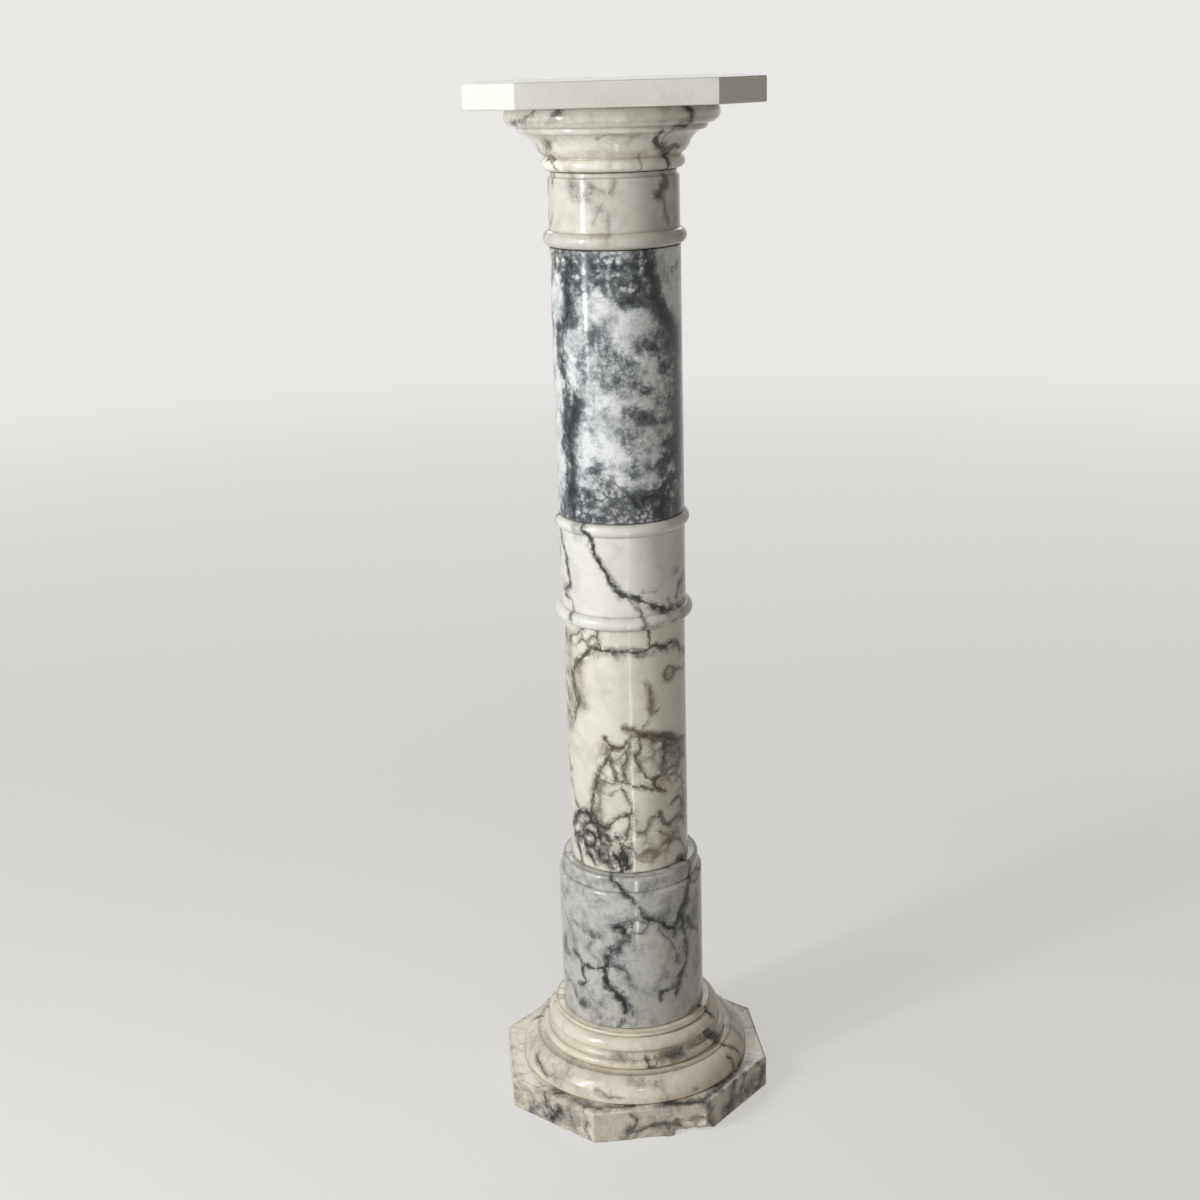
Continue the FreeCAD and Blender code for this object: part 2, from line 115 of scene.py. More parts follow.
# Wear, and old dirt with painted shade in the hollows and beside the joints
EDGE_TURN = 0.2  # radians, an edge that turns by more than this gets chips
CHIP_FLOOR = 0.28  # how strong the noise is where a chip starts
CHIP_GAIN = 2.2
HOLLOW_TURN = 0.12  # radians, a hollow that turns by more than this gets old dirt and painted shade
HOLLOW_GRIME_AND_SHADE = 1.5
JOINT_GRIME_AND_SHADE = 0.75
JOINT_SPREAD = 0.5  # mm from a joint, where its dirt and painted shade have thinned out to about a third
SLAB_GRIME_AND_SHADE = 0.3  # how much of all this dirt and painted shade the two slabs have

# Studio
FLOOR_RADIUS = 60.0  # m
FADE_RADII = (0.8, 4.5)  # m, between these the floor comes to look like the background
FLOOR_DULL = 0.4  # what is left of the floor's colour in the light that it throws back
SKY_TINT = (1.0, 0.9, 0.76)
CAMERA_SIDE = -6.4  # degrees from the front, where the camera stands
COOL = (0.97, 0.985, 1.0)
WHITE = (1.0, 1.0, 1.0)
CREAM = (1.0, 0.95, 0.87)
AMBER = (1.0, 0.80, 0.58)

# How the marks on the stones are read
REACH = 14.0  # mm, distances to a vein are kept up to this
END_GAP = 1.3  # mm, how far a line is let run on past the end of its vein
STRAND_REACH = 5.5  # mm, how far a thin strand may leave its vein
CLOUD_REACH = 2.5  # how many of its widths a cloud is followed
STIR_SIZE = 13.0  # mm, the size of the bends that are added to every mark
STIR = 1.6  # mm, how far they move it
STRAY_SPACING = 16  # mm of a stone's height for each stray vein
MIX_FIRST, MIX_SECOND, MIX_RESULT = 6, 7, 2  # the sockets of a Mix node that blends colours

# A vein has its path, about half its width in mm, and how dark and how rusty it is.
Vein = namedtuple("Vein", "path width ink rust", defaults=(0.0,))
# A cloud has its path, how far it spreads in mm, and how smoky, how rusty and how full of pebbles it is. A
# few on the right sides of the socle, the middle collar and the neck are painted shade.
Cloud = namedtuple("Cloud", "path width smoke rust cells", defaults=(0.0, 0.0))
# A stone has the slot, the body and the colours that it takes, its marks, the size of its pebbles in mm, and
# how much hairs and mottling cover it all over.
Stone = namedtuple("Stone", "slot body look veins clouds cells crackle mottle")


# Drawn marks of each stone -----------------------------------------------------------------------------

UPPER_VEINS = (
    Vein(((19, 258), (20, 250), (24, 235), (28, 222), (31, 208), (34, 201)), 2.2, 0.75),
    Vein(((34, 201), (38, 195), (44, 188), (50, 178), (55, 168), (58, 158)), 3.0, 0.95),
    Vein(((50, 178), (44, 170), (36, 166), (26, 168)), 1.4, 0.45),
    Vein(((58, 158), (50, 150), (42, 147), (34, 148)), 1.8, 0.6),
    Vein(((56, 82), (46, 76), (37, 74)), 2.0, 0.6),
    Vein(((54, 66), (44, 60), (33, 59), (24, 52)), 2.0, 0.6),
    Vein(((50, 40), (38, 34), (27, 29), (16, 24)), 2.6, 0.8),
    Vein(((-53, 257), (-54, 235), (-52, 205), (-56, 194), (-62, 188), (-70, 181)), 2.0, 0.6),
    Vein(((-72, 240), (-64, 236), (-56, 231)), 1.6, 0.5),
    Vein(((-70, 172), (-66, 150), (-62, 135), (-60, 120), (-62, 90), (-66, 70)), 2.6, 0.6),
    Vein(
        ((-48, 125), (-45, 108), (-52, 95), (-56, 85), (-55, 60), (-54, 45), (-56, 25), (-55, 2)),
        3.0, 0.65,
    ),
    Vein(
        ((-34, 257), (-28, 246), (-20, 241), (-12, 246), (-4, 240), (4, 246), (10, 240), (18, 246)),
        1.5, 0.65,
    ),
    Vein(((-30, 232), (-22, 236), (-14, 228), (-6, 232), (2, 226), (10, 230), (20, 224)), 1.4, 0.6),
    Vein(((-20, 241), (-18, 234), (-22, 226)), 1.2, 0.5),
    Vein(((-4, 240), (-2, 232), (-5, 224)), 1.2, 0.5),
    Vein(((10, 256), (12, 246), (9, 236), (13, 226), (6, 214), (0, 209)), 1.8, 0.75),
    Vein(((-28, 178), (-25, 171), (-22, 164)), 1.3, 0.4),
    Vein(((-10, 143), (-4, 139), (2, 135), (10, 131), (18, 127), (26, 126)), 1.3, 0.4),
    Vein(((-38, 30), (-30, 26), (-22, 36), (-14, 41), (-8, 36), (0, 28), (8, 20), (12, 10)), 1.6, 0.55),
    Vein(((-44, 14), (-34, 18), (-24, 14), (-14, 20), (-4, 14), (6, 8)), 1.4, 0.5),
)
UPPER_CLOUDS = (
    Cloud(((-40, 150), (-10, 150), (20, 150), (40, 140)), 26.0, 0.22),
    Cloud(((-40, 60), (0, 70), (36, 80)), 26.0, 0.1),
    Cloud(((-70, 248), (-56, 246), (-42, 240), (-36, 224)), 11.0, 0.42, 0.0, 1.0),
    Cloud(((-54, 226), (-52, 205), (-58, 190), (-66, 182)), 7.0, 0.42, 0.0, 0.8),
    Cloud(((-44, 194), (-48, 190)), 6.0, 0.6),
    Cloud(((-66, 174), (-62, 150), (-58, 125), (-58, 90), (-57, 50), (-57, 0)), 9.0, 0.45, 0.0, 0.5),
    Cloud(((-50, 120), (-48, 100), (-52, 60), (-50, 20)), 9.0, 0.32, 0.0, 0.3),
    Cloud(((-34, 250), (-10, 246), (12, 244), (22, 248)), 13.0, 0.4, 0.0, 0.6),
    Cloud(((-20, 226), (0, 224), (18, 226)), 10.0, 0.24, 0.0, 0.6),
    Cloud(((0, 213), (8, 210), (20, 212)), 7.0, 0.6),
    Cloud(((22, 254), (26, 232), (31, 212), (36, 200)), 7.0, 0.95, 0.0, 0.4),
    Cloud(((34, 204), (44, 188), (52, 176), (57, 160)), 8.5, 0.97),
    Cloud(((56, 168), (58, 140), (57, 110), (56, 80), (54, 50), (53, 20), (53, 0)), 9.0, 0.95, 0.0, 0.4),
    Cloud(((38, 182), (44, 160), (42, 138), (46, 112)), 9.0, 0.52),
    Cloud(((16, 172), (30, 160), (36, 142)), 9.0, 0.45),
    Cloud(((-26, 176), (-14, 170), (-6, 158), (4, 146)), 10.0, 0.48),
    Cloud(((-16, 150), (-20, 132)), 8.0, 0.34),
    Cloud(((2, 108), (12, 104), (26, 98)), 7.0, 0.55),
    Cloud(((10, 134), (24, 126), (34, 116)), 7.0, 0.42),
    Cloud(((0, 80), (8, 66), (2, 50)), 9.0, 0.34),
    Cloud(((46, 76), (42, 60), (34, 46)), 7.0, 0.72, 0.0, 0.4),
    Cloud(((48, 36), (38, 26), (32, 8)), 11.0, 0.9, 0.0, 0.8),
    Cloud(((-30, 52), (-26, 40)), 6.0, 0.5),
    Cloud(((-46, 20), (-26, 26), (-6, 24), (14, 22)), 11.0, 0.3, 0.0, 0.65),
    Cloud(((-48, 4), (-20, 4), (16, 4)), 8.0, 0.4, 0.0, 0.65),
)
LOWER_VEINS = (
    Vein(((-62, 213), (-57, 222), (-50, 228), (-44, 236), (-40, 240), (-33, 241), (-25, 238)), 1.5, 0.9, 0.2),
    Vein(
        ((-25, 238), (-15, 239), (-5, 239), (5, 238), (12, 239), (17, 241), (25, 240), (35, 240)),
        1.5, 0.95, 0.2,
    ),
    Vein(((35, 240), (45, 239), (52, 237), (58, 230), (65, 226), (74, 221)), 1.6, 0.95, 0.2),
    Vein(((-30, 242), (-31, 247), (-33, 259)), 1.0, 0.75, 0.3),
    Vein(((-42, 240), (-40, 250), (-35, 253), (-31, 247)), 0.8, 0.6, 0.3),
    Vein(((16, 243), (17, 259)), 0.9, 0.8, 0.2),
    Vein(((-68, 245), (-60, 250), (-50, 258)), 1.2, 0.6),
    Vein(((-66, 207), (-62, 190), (-60, 174), (-64, 160)), 1.6, 0.6, 0.2),
    Vein(((33, 204), (35, 214), (40, 217), (45, 212), (44, 204), (38, 201), (33, 204)), 1.1, 0.6, 0.5),
    Vein(((46, 211), (52, 210), (60, 207), (70, 208)), 1.1, 0.6, 0.4),
    Vein(((12, 203), (16, 200), (17, 190), (18, 180), (18, 172)), 1.2, 0.55, 0.6),
    Vein(((24, 174), (18, 170), (12, 162), (8, 157)), 0.9, 0.5, 0.5),
    Vein(
        ((-8, 158), (0, 155), (8, 150), (15, 148), (25, 145), (33, 142), (40, 138), (50, 134), (66, 131)),
        1.8, 0.95, 0.3,
    ),
    Vein(((8, 154), (16, 152), (26, 149), (36, 146), (46, 138)), 1.0, 0.7, 0.4),
    Vein(((14, 146), (24, 140), (34, 138), (48, 130), (62, 124)), 1.1, 0.7, 0.3),
    Vein(((-28, 148), (-25, 141), (-17, 137), (-10, 139), (-5, 146), (-3, 151)), 1.1, 0.8, 0.3),
    Vein(((-22, 136), (-24, 128), (-28, 120), (-33, 112), (-36, 103), (-38, 97), (-42, 85)), 1.3, 0.85, 0.3),
    Vein(
        ((-42, 85), (-43, 75), (-45, 65), (-44, 55), (-40, 47), (-35, 43), (-28, 40), (-25, 33)),
        1.3, 0.85, 0.2,
    ),
    Vein(((-37, 103), (-30, 100), (-20, 99), (-9, 103)), 0.9, 0.6, 0.2),
    Vein(
        ((-22, 122), (-20, 110), (-18, 103), (-8, 98), (0, 95), (8, 94), (20, 89), (28, 83)),
        1.2, 0.75, 0.3,
    ),
    Vein(((-5, 144), (-8, 125), (-10, 115), (-9, 105), (-4, 98)), 1.1, 0.7, 0.3),
    Vein(((5, 148), (5, 140), (4, 133), (0, 128), (4, 118), (8, 108), (12, 102), (17, 99)), 1.1, 0.75, 0.3),
    Vein(((30, 142), (31, 130), (30, 115), (25, 104), (18, 100), (22, 92), (30, 85)), 1.4, 0.85, 0.3),
    Vein(((30, 138), (38, 134), (45, 130), (52, 123), (58, 116), (66, 110)), 1.3, 0.8, 0.3),
    Vein(((33, 108), (44, 108), (56, 111), (66, 116)), 1.0, 0.6, 0.3),
    Vein(((-42, 60), (-38, 53), (-30, 50), (-24, 54), (-15, 62), (-8, 65)), 1.2, 0.8, 0.2),
    Vein(((-14, 93), (-8, 85), (-5, 75), (-6, 62), (-7, 50), (-9, 40)), 1.0, 0.7, 0.2),
    Vein(
        ((-76, 40), (-68, 50), (-60, 57), (-50, 60), (-43, 52), (-38, 45), (-36, 35), (-36, 18), (-33, 10)),
        1.9, 0.95,
    ),
    Vein(((-74, 27), (-66, 32), (-60, 37), (-54, 45), (-46, 50)), 1.5, 0.85),
    Vein(((-60, 37), (-56, 28), (-50, 22), (-43, 26), (-40, 35), (-47, 40), (-56, 37)), 1.3, 0.8),
    Vein(((-56, 28), (-52, 18), (-46, 12), (-42, 6)), 1.4, 0.8),
    Vein(((-68, 32), (-68, 20), (-62, 10), (-60, 2)), 1.3, 0.75),
    Vein(((-40, 35), (-32, 30), (-27, 22), (-28, 12), (-24, 4)), 1.2, 0.7),
    Vein(((-18, 38), (-16, 30), (-11, 18), (-8, 7)), 2.4, 1.0),
    Vein(((-20, 20), (-15, 4)), 1.8, 0.9),
    Vein(((-25, 33), (-20, 36), (-14, 33), (-6, 26), (0, 18)), 1.2, 0.7, 0.2),
    Vein(((0, 18), (8, 11), (18, 14), (19, 20), (10, 22), (0, 18)), 1.4, 0.6, 0.8),
    Vein(((4, 44), (8, 43), (12, 48), (15, 58), (25, 58), (30, 52)), 0.9, 0.6, 0.4),
    Vein(((24, 41), (35, 33), (28, 28), (40, 27), (50, 24), (56, 18), (62, 10)), 1.2, 0.65, 0.5),
    Vein(((25, 62), (30, 48), (38, 49), (45, 50), (55, 48), (65, 32)), 1.2, 0.7, 0.4),
    Vein(((40, 68), (50, 72), (60, 62), (65, 55), (70, 52)), 1.2, 0.7, 0.3),
    Vein(((-42, 85), (-36, 88), (-28, 84), (-20, 90), (-14, 93)), 0.8, 0.4, 0.2),
)
LOWER_CLOUDS = (
    Cloud(((-40, 232), (-34, 234)), 4.0, 0.5),
    Cloud(((-14, 233), (-9, 234)), 4.0, 0.5),
    Cloud(((2, 234), (20, 234)), 4.0, 0.45),
    Cloud(((38, 234), (48, 233)), 4.0, 0.45),
    Cloud(((-60, 218), (-58, 196), (-54, 178)), 9.0, 0.35, 0.15),
    Cloud(((-72, 240), (-68, 200), (-72, 150)), 9.0, 0.42),
    Cloud(((36, 208), (44, 210)), 6.0, 0.25, 0.5),
    Cloud(((14, 200), (17, 186), (19, 174)), 4.0, 0.2, 0.5),
    Cloud(((0, 152), (16, 149), (34, 143), (50, 134)), 4.5, 0.35, 0.3),
    Cloud(((-29, 137), (-26, 136)), 4.0, 0.1, 0.8),
    Cloud(((24, 94), (36, 96)), 5.0, 0.2, 0.8),
    Cloud(((29, 33), (41, 34)), 5.0, 0.3, 0.85),
    Cloud(((4, 18), (16, 16)), 4.0, 0.2, 0.8),
    Cloud(((48, 3), (54, 2)), 5.0, 0.9),
    Cloud(((-66, 32), (-50, 34), (-40, 20)), 14.0, 0.3, 0.0, 1.0),
    Cloud(((-30, 14), (-12, 16), (-6, 30)), 6.0, 0.4, 0.0, 0.8),
    Cloud(((30, 20), (50, 40), (60, 60)), 10.0, 0.1, 0.25, 0.7),
    Cloud(((-24, 128), (-4, 124), (14, 128), (34, 122), (56, 120)), 15.0, 0.2, 0.03, 0.5),
    Cloud(((-34, 104), (-38, 76), (-38, 48)), 7.0, 0.22, 0.05, 0.75),
    Cloud(((32, 102), (54, 92), (64, 62)), 10.0, 0.12, 0.12, 0.75),
    Cloud(((-6, 66), (2, 44), (10, 30)), 8.0, 0.1, 0.0, 0.6),
    Cloud(((-60, 246), (-36, 245)), 7.0, 0.15, 0.0, 0.8),
)
SOCLE_VEINS = (
    Vein(
        ((-24, 171), (-18, 165), (-13, 157), (-9, 153), (-5, 149), (-2, 143), (0, 138), (1, 132), (5, 128)),
        1.3, 0.8,
    ),
    Vein(((5, 128), (8, 124), (12, 124), (16, 121), (20, 116), (24, 112), (29, 111)), 1.4, 0.85),
    Vein(((29, 111), (32, 114), (35, 120), (36, 126), (40, 131), (43, 137), (45, 145), (48, 151)), 1.6, 0.95),
    Vein(((48, 151), (52, 160), (54, 172)), 1.2, 0.85),
    Vein(((48, 151), (55, 148), (62, 150), (70, 154)), 1.0, 0.65),
    Vein(((35, 119), (42, 115), (50, 100), (58, 92)), 1.0, 0.6),
    Vein(((36, 118), (40, 98), (42, 85), (42, 70), (38, 55), (35, 48), (32, 40)), 1.1, 0.65),
    Vein(((32, 40), (25, 40), (18, 38), (16, 31)), 1.2, 0.75),
    Vein(((32, 42), (31, 36), (30, 31)), 1.2, 0.7),
    Vein(((15, 120), (17, 108), (22, 100), (30, 82), (34, 66)), 0.8, 0.4),
    Vein(
        ((-2, 142), (-2, 128), (-5, 125), (-7, 118), (-9, 102), (-12, 101), (-15, 98), (-17, 90)),
        1.0, 0.75,
    ),
    Vein(((-20, 118), (-15, 119), (-13, 114), (-11, 109)), 1.4, 0.85),
    Vein(((-5, 124), (2, 124), (6, 118), (2, 112), (-5, 112), (-8, 118)), 0.8, 0.5),
    Vein(((-17, 90), (-22, 91), (-26, 85), (-26, 75), (-29, 69), (-29, 60)), 1.2, 0.8),
    Vein(((-29, 60), (-29, 50), (-25, 46), (-20, 41), (-17, 37), (-14, 32), (-13, 22)), 2.0, 0.95),
    Vein(((-29, 69), (-35, 67), (-42, 66), (-50, 62), (-50, 52), (-48, 45), (-54, 40)), 1.2, 0.75),
    Vein(((-60, 76), (-54, 72), (-50, 62)), 1.0, 0.65),
    Vein(((-25, 72), (-14, 70), (-10, 60)), 0.9, 0.5),
    Vein(((-9, 26), (-8, 18)), 1.1, 0.6),
    Vein(((-15, 11), (-19, 2)), 1.1, 0.6),
    Vein(((-62, 116), (-54, 108), (-44, 106), (-34, 104)), 1.0, 0.35),
    Vein(((-78, 40), (-70, 34), (-62, 30), (-58, 22)), 1.0, 0.5),
)
SOCLE_CLOUDS_AND_SHADE = (
    Cloud(((-53, 17), (-51, 17)), 5.5, 0.85),
    Cloud(((-78, 69), (-68, 68)), 5.0, 0.5),
    Cloud(((-38, 105), (-30, 105)), 6.0, 0.25),
    Cloud(((-20, 124), (-9, 126)), 8.0, 0.35),
    Cloud(((-24, 80), (-16, 76)), 8.0, 0.35),
    Cloud(((30, 104), (40, 108)), 8.0, 0.35),
    Cloud(((-28, 54), (-22, 42), (-15, 30)), 4.0, 0.4),
    Cloud(((30, 112), (36, 120), (46, 148)), 4.0, 0.4),
    # Painted shade: a grey-brown darker band down the right side of the drum, where it is in shade
    Cloud(((60, 40), (66, 90), (62, 140)), 12.0, 0.2, 0.1),
)
MIDDLE_VEINS = (
    Vein(
        ((-43, 107), (-40, 102), (-37, 95), (-35, 90), (-33, 80), (-30, 73), (-25, 65), (-21, 60)),
        1.6, 0.9,
    ),
    Vein(
        ((-21, 60), (-19, 53), (-16, 47), (-12, 42), (-8, 37), (0, 35), (5, 33), (10, 29), (15, 26)),
        1.6, 0.9,
    ),
    Vein(((15, 26), (20, 22), (25, 20), (30, 18), (35, 15), (50, 17), (72, 17)), 1.4, 0.8),
    Vein(((-2, 33), (2, 28), (6, 23), (10, 14), (11, 4)), 1.0, 0.6),
    Vein(((38, 26), (42, 20), (50, 14)), 1.0, 0.5),
    Vein(((10, 39), (17, 39), (25, 38)), 0.9, 0.3),
    Vein(
        ((-80, 90), (-77, 82), (-73, 75), (-69, 68), (-68, 60), (-66, 50), (-64, 43), (-65, 39), (-72, 34)),
        1.5, 0.75,
    ),
    Vein(((-72, 27), (-63, 25), (-60, 20), (-57, 8)), 1.2, 0.6),
)
MIDDLE_CLOUDS_AND_SHADE = (
    Cloud(((-53, 92), (-47, 94), (-51, 104)), 5.0, 0.5),
    Cloud(((-78, 36), (-70, 34)), 7.0, 0.5),
    Cloud(((46, 54), (50, 53)), 4.5, 0.55),
    Cloud(((51, 39), (62, 38)), 4.0, 0.4),
    # Painted shade: a rusty patch that warms and darkens the right side of the collar, where it is in shade
    Cloud(((22, 80), (40, 60), (58, 66)), 14.0, 0.0, 0.25),
    Cloud(((10, 4), (26, 5)), 3.5, 0.25, 0.6),
    Cloud(((34, 5), (56, 5)), 3.0, 0.3, 0.5),
)
NECK_VEINS = (
    Vein(((-32, 66), (-30, 62), (-25, 58), (-15, 52)), 0.8, 0.25, 0.3),
    Vein(((-5, 61), (-6, 54), (-10, 50)), 0.8, 0.3, 0.3),
    Vein(((-17, 41), (-20, 33), (-24, 24)), 0.8, 0.25),
    Vein(((-12, 30), (-11, 18), (-12, 10)), 0.8, 0.25),
    Vein(((44, 62), (45, 55), (40, 50), (34, 46)), 1.6, 0.7, 0.3),
    Vein(((40, 56), (39, 48), (42, 36), (46, 22)), 1.3, 0.5, 0.3),
)
NECK_CLOUDS_AND_SHADE = (
    Cloud(((-25, 13), (-10, 13)), 2.2, 0.0, 0.9),
    Cloud(((-20, 6), (-6, 6)), 3.0, 0.0, 0.4),
    Cloud(((-44, 56), (-30, 50)), 9.0, 0.45),
    Cloud(((44, 58), (46, 54)), 5.5, 0.95, 0.1),
    Cloud(((33, 48), (40, 46)), 5.0, 0.6, 0.2),
    Cloud(((37, 56), (40, 53)), 4.0, 0.6, 0.2),
    # Painted shade: a smoky, rusty band down the right side of the neck, where it is in shade
    Cloud(((58, 60), (62, 30), (60, 6)), 10.0, 0.4, 0.3),
    Cloud(((-9, 50), (-7, 50)), 2.5, 0.0, 0.7),
)
CAPITAL_VEINS = (
    Vein(
        ((24, 34), (24, 27), (27, 23), (32, 21), (34, 18), (38, 15), (40, 12), (42, 5), (43, 1)),
        1.4, 0.9, 0.2,
    ),
    Vein(((38, 16), (42, 19), (47, 20), (52, 18)), 1.2, 0.85, 0.2),
    Vein(((34, 20), (31, 25), (30, 29), (32, 35)), 0.9, 0.5, 0.2),
    Vein(((32, 40), (36, 39), (41, 40)), 1.3, 0.8),
    Vein(((36, 56), (38, 50), (39, 45)), 1.5, 0.6),
    Vein(((-34, 57), (-35, 53), (-37, 50)), 1.0, 0.45),
    Vein(((-70, 12), (-62, 8), (-57, 2)), 1.2, 0.55),
    Vein(((-72, 44), (-62, 46), (-54, 50), (-50, 55)), 1.2, 0.6),
    Vein(((14, 12), (16, 6), (15, 1)), 0.9, 0.4, 0.2),
    Vein(((-16, 30), (-8, 34), (2, 31), (10, 33)), 0.8, 0.3, 0.3),
)
CAPITAL_CLOUDS = (
    Cloud(((-34, 55), (-33, 53)), 3.2, 0.4),
    Cloud(((34, 54), (38, 52), (38, 47)), 4.0, 0.6),
    Cloud(((-68, 18), (-62, 22), (-57, 26)), 5.5, 0.6),
    Cloud(((35, 18), (40, 16)), 5.0, 0.4),
    Cloud(((-36, 16), (-14, 17), (20, 16)), 5.0, 0.0, 0.3),
    Cloud(((-180, 12), (0, 12), (180, 12)), 1.2, 0.0, 0.5),
)
COLLAR_VEINS = (
    Vein(((1, 9), (3, 3), (4, 0)), 1.2, 0.7),
    Vein(((7, 9), (6, 3)), 1.0, 0.6),
    Vein(((12, 10), (18, 8), (26, 10)), 1.4, 0.6),
    Vein(((60, 34), (61, 25), (64, 20), (68, 14)), 1.4, 0.9),
    Vein(((51, 14), (55, 8), (58, 3), (60, 0)), 2.2, 1.0),
)
COLLAR_CLOUDS = (
    Cloud(((-20, 11), (-7, 11)), 5.0, 0.6),
    Cloud(((10, 10), (26, 9)), 4.0, 0.38),
    Cloud(((51, 11), (56, 7)), 3.5, 0.85),
    Cloud(((30, 10), (44, 10)), 4.0, 0.3, 0.3),
)
TORUS_VEINS = (
    Vein(((52, 15), (53, 10), (53, 5)), 1.2, 0.75),
    Vein(((56, 24), (60, 16), (62, 6)), 1.2, 0.7),
    Vein(((-27, 12), (-20, 8), (-13, 7)), 1.2, 0.4),
    Vein(((-70, 16), (-64, 11), (-58, 10)), 1.2, 0.5),
    Vein(((4, 17), (7, 10), (9, 4)), 0.8, 0.25, 0.8),
)
TORUS_CLOUDS = (
    Cloud(((-67, 12), (-63, 12)), 6.0, 0.5),
    Cloud(((-90, 14), (-60, 16), (-34, 14)), 14.0, 0.16),
    Cloud(((-56, 10), (-54, 10)), 4.0, 0.45),
    Cloud(((-26, 11), (-20, 9)), 4.0, 0.35),
    Cloud(((23, 7), (25, 6)), 2.5, 0.6),
    Cloud(((-10, 20), (0, 19), (8, 18)), 4.0, 0.25),
)
PLINTH_VEINS = (
    Vein(((-52, 34), (-51, 24), (-49, 18), (-45, 14)), 2.0, 0.6),
    Vein(((-44, 22), (-46, 14), (-49, 6)), 2.6, 0.75),
    Vein(((-56, 14), (-60, 8), (-62, 2)), 1.6, 0.45),
    Vein(((-28, 22), (-29, 12), (-27, 4)), 1.5, 0.5),
    Vein(((-8, 28), (-6, 20), (-10, 12), (-13, 2)), 1.8, 0.6),
    Vein(((-10, 8), (-4, 12), (2, 16), (8, 15), (14, 12)), 1.4, 0.55),
    Vein(((26, 34), (28, 22), (27, 10), (31, 2)), 1.6, 0.5),
    Vein(((46, 36), (44, 24), (43, 14), (36, 4)), 2.2, 0.65),
    Vein(((54, 36), (52, 22), (56, 10)), 2.0, 0.6),
    Vein(((64, 36), (67, 24), (66, 12), (60, 2)), 2.0, 0.6),
    Vein(((-47, 40), (-44, 46), (-46, 54)), 2.4, 0.6),
    Vein(((-30, 44), (-22, 46), (-14, 44), (-4, 48)), 2.0, 0.55),
    Vein(((8, 40), (14, 42), (22, 40), (30, 42)), 2.0, 0.6),
    Vein(((34, 40), (42, 44), (50, 40), (60, 46)), 1.8, 0.55),
)
PLINTH_CLOUDS = (
    Cloud(((-60, 4), (-48, 10), (-44, 20)), 6.0, 0.4),
    Cloud(((-96, 18), (-70, 20), (-40, 20)), 16.0, 0.28),
    Cloud(((-50, 46), (-30, 46), (-10, 48)), 6.0, 0.45),
    Cloud(((10, 44), (40, 44), (64, 42)), 7.0, 0.45),
    Cloud(((40, 10), (52, 16), (64, 20)), 9.0, 0.4, 0.2),
    Cloud(((-14, 42), (-4, 42)), 4.0, 0.0, 0.3),
)
PLATE_VEINS = (
    Vein(((-64, 22), (-66, 14), (-64, 6), (-66, 1)), 1.2, 0.7),
)
PLATE_CLOUDS = (
    Cloud(((-12, 6), (4, 4), (20, 5)), 5.0, 0.0, 0.12),
)

STONES = {
    "plinth": Stone("plinth_marble", COLUMN, "plinth", PLINTH_VEINS, PLINTH_CLOUDS, 22.0, 0.35, 0.7),
    "base_torus": Stone("cream_marble", COLUMN, "torus", TORUS_VEINS, TORUS_CLOUDS, 26.0, 0.2, 0.45),
    "base_collar": Stone("cream_marble", COLUMN, "collar", COLLAR_VEINS, COLLAR_CLOUDS, 22.0, 0.2, 0.4),
    "socle_drum": Stone("blue_veined_marble", COLUMN, "socle", SOCLE_VEINS, SOCLE_CLOUDS_AND_SHADE, 24.0, 0.25, 0.75),
    "lower_shaft": Stone("brown_veined_marble", COLUMN, "lower", LOWER_VEINS, LOWER_CLOUDS, 17.0, 0.3, 0.25),
    "middle_collar": Stone("white_marble", COLUMN, "middle", MIDDLE_VEINS, MIDDLE_CLOUDS_AND_SHADE, 24.0, 0.15, 0.25),
    "upper_shaft": Stone("dark_veined_marble", COLUMN, "upper", UPPER_VEINS, UPPER_CLOUDS, 9.0, 0.35, 0.8),
    "neck_drum": Stone("grey_marble", COLUMN, "neck", NECK_VEINS, NECK_CLOUDS_AND_SHADE, 18.0, 0.15, 0.4),
    "capital": Stone("cream_marble", COLUMN, "capital", CAPITAL_VEINS, CAPITAL_CLOUDS, 18.0, 0.2, 0.45),
    "top_plate": Stone("white_marble", TOP, "plate", PLATE_VEINS, PLATE_CLOUDS, 30.0, 0.25, 0.28),
}


# Settings ---------------------------------------------------------------------------------------------


def tint(name, description, value):
    """A colour that the panel shows."""
    return bpy.props.FloatVectorProperty(
        name=name, description=description, default=value, subtype="COLOR", size=3, min=0.0, max=1.0
    )


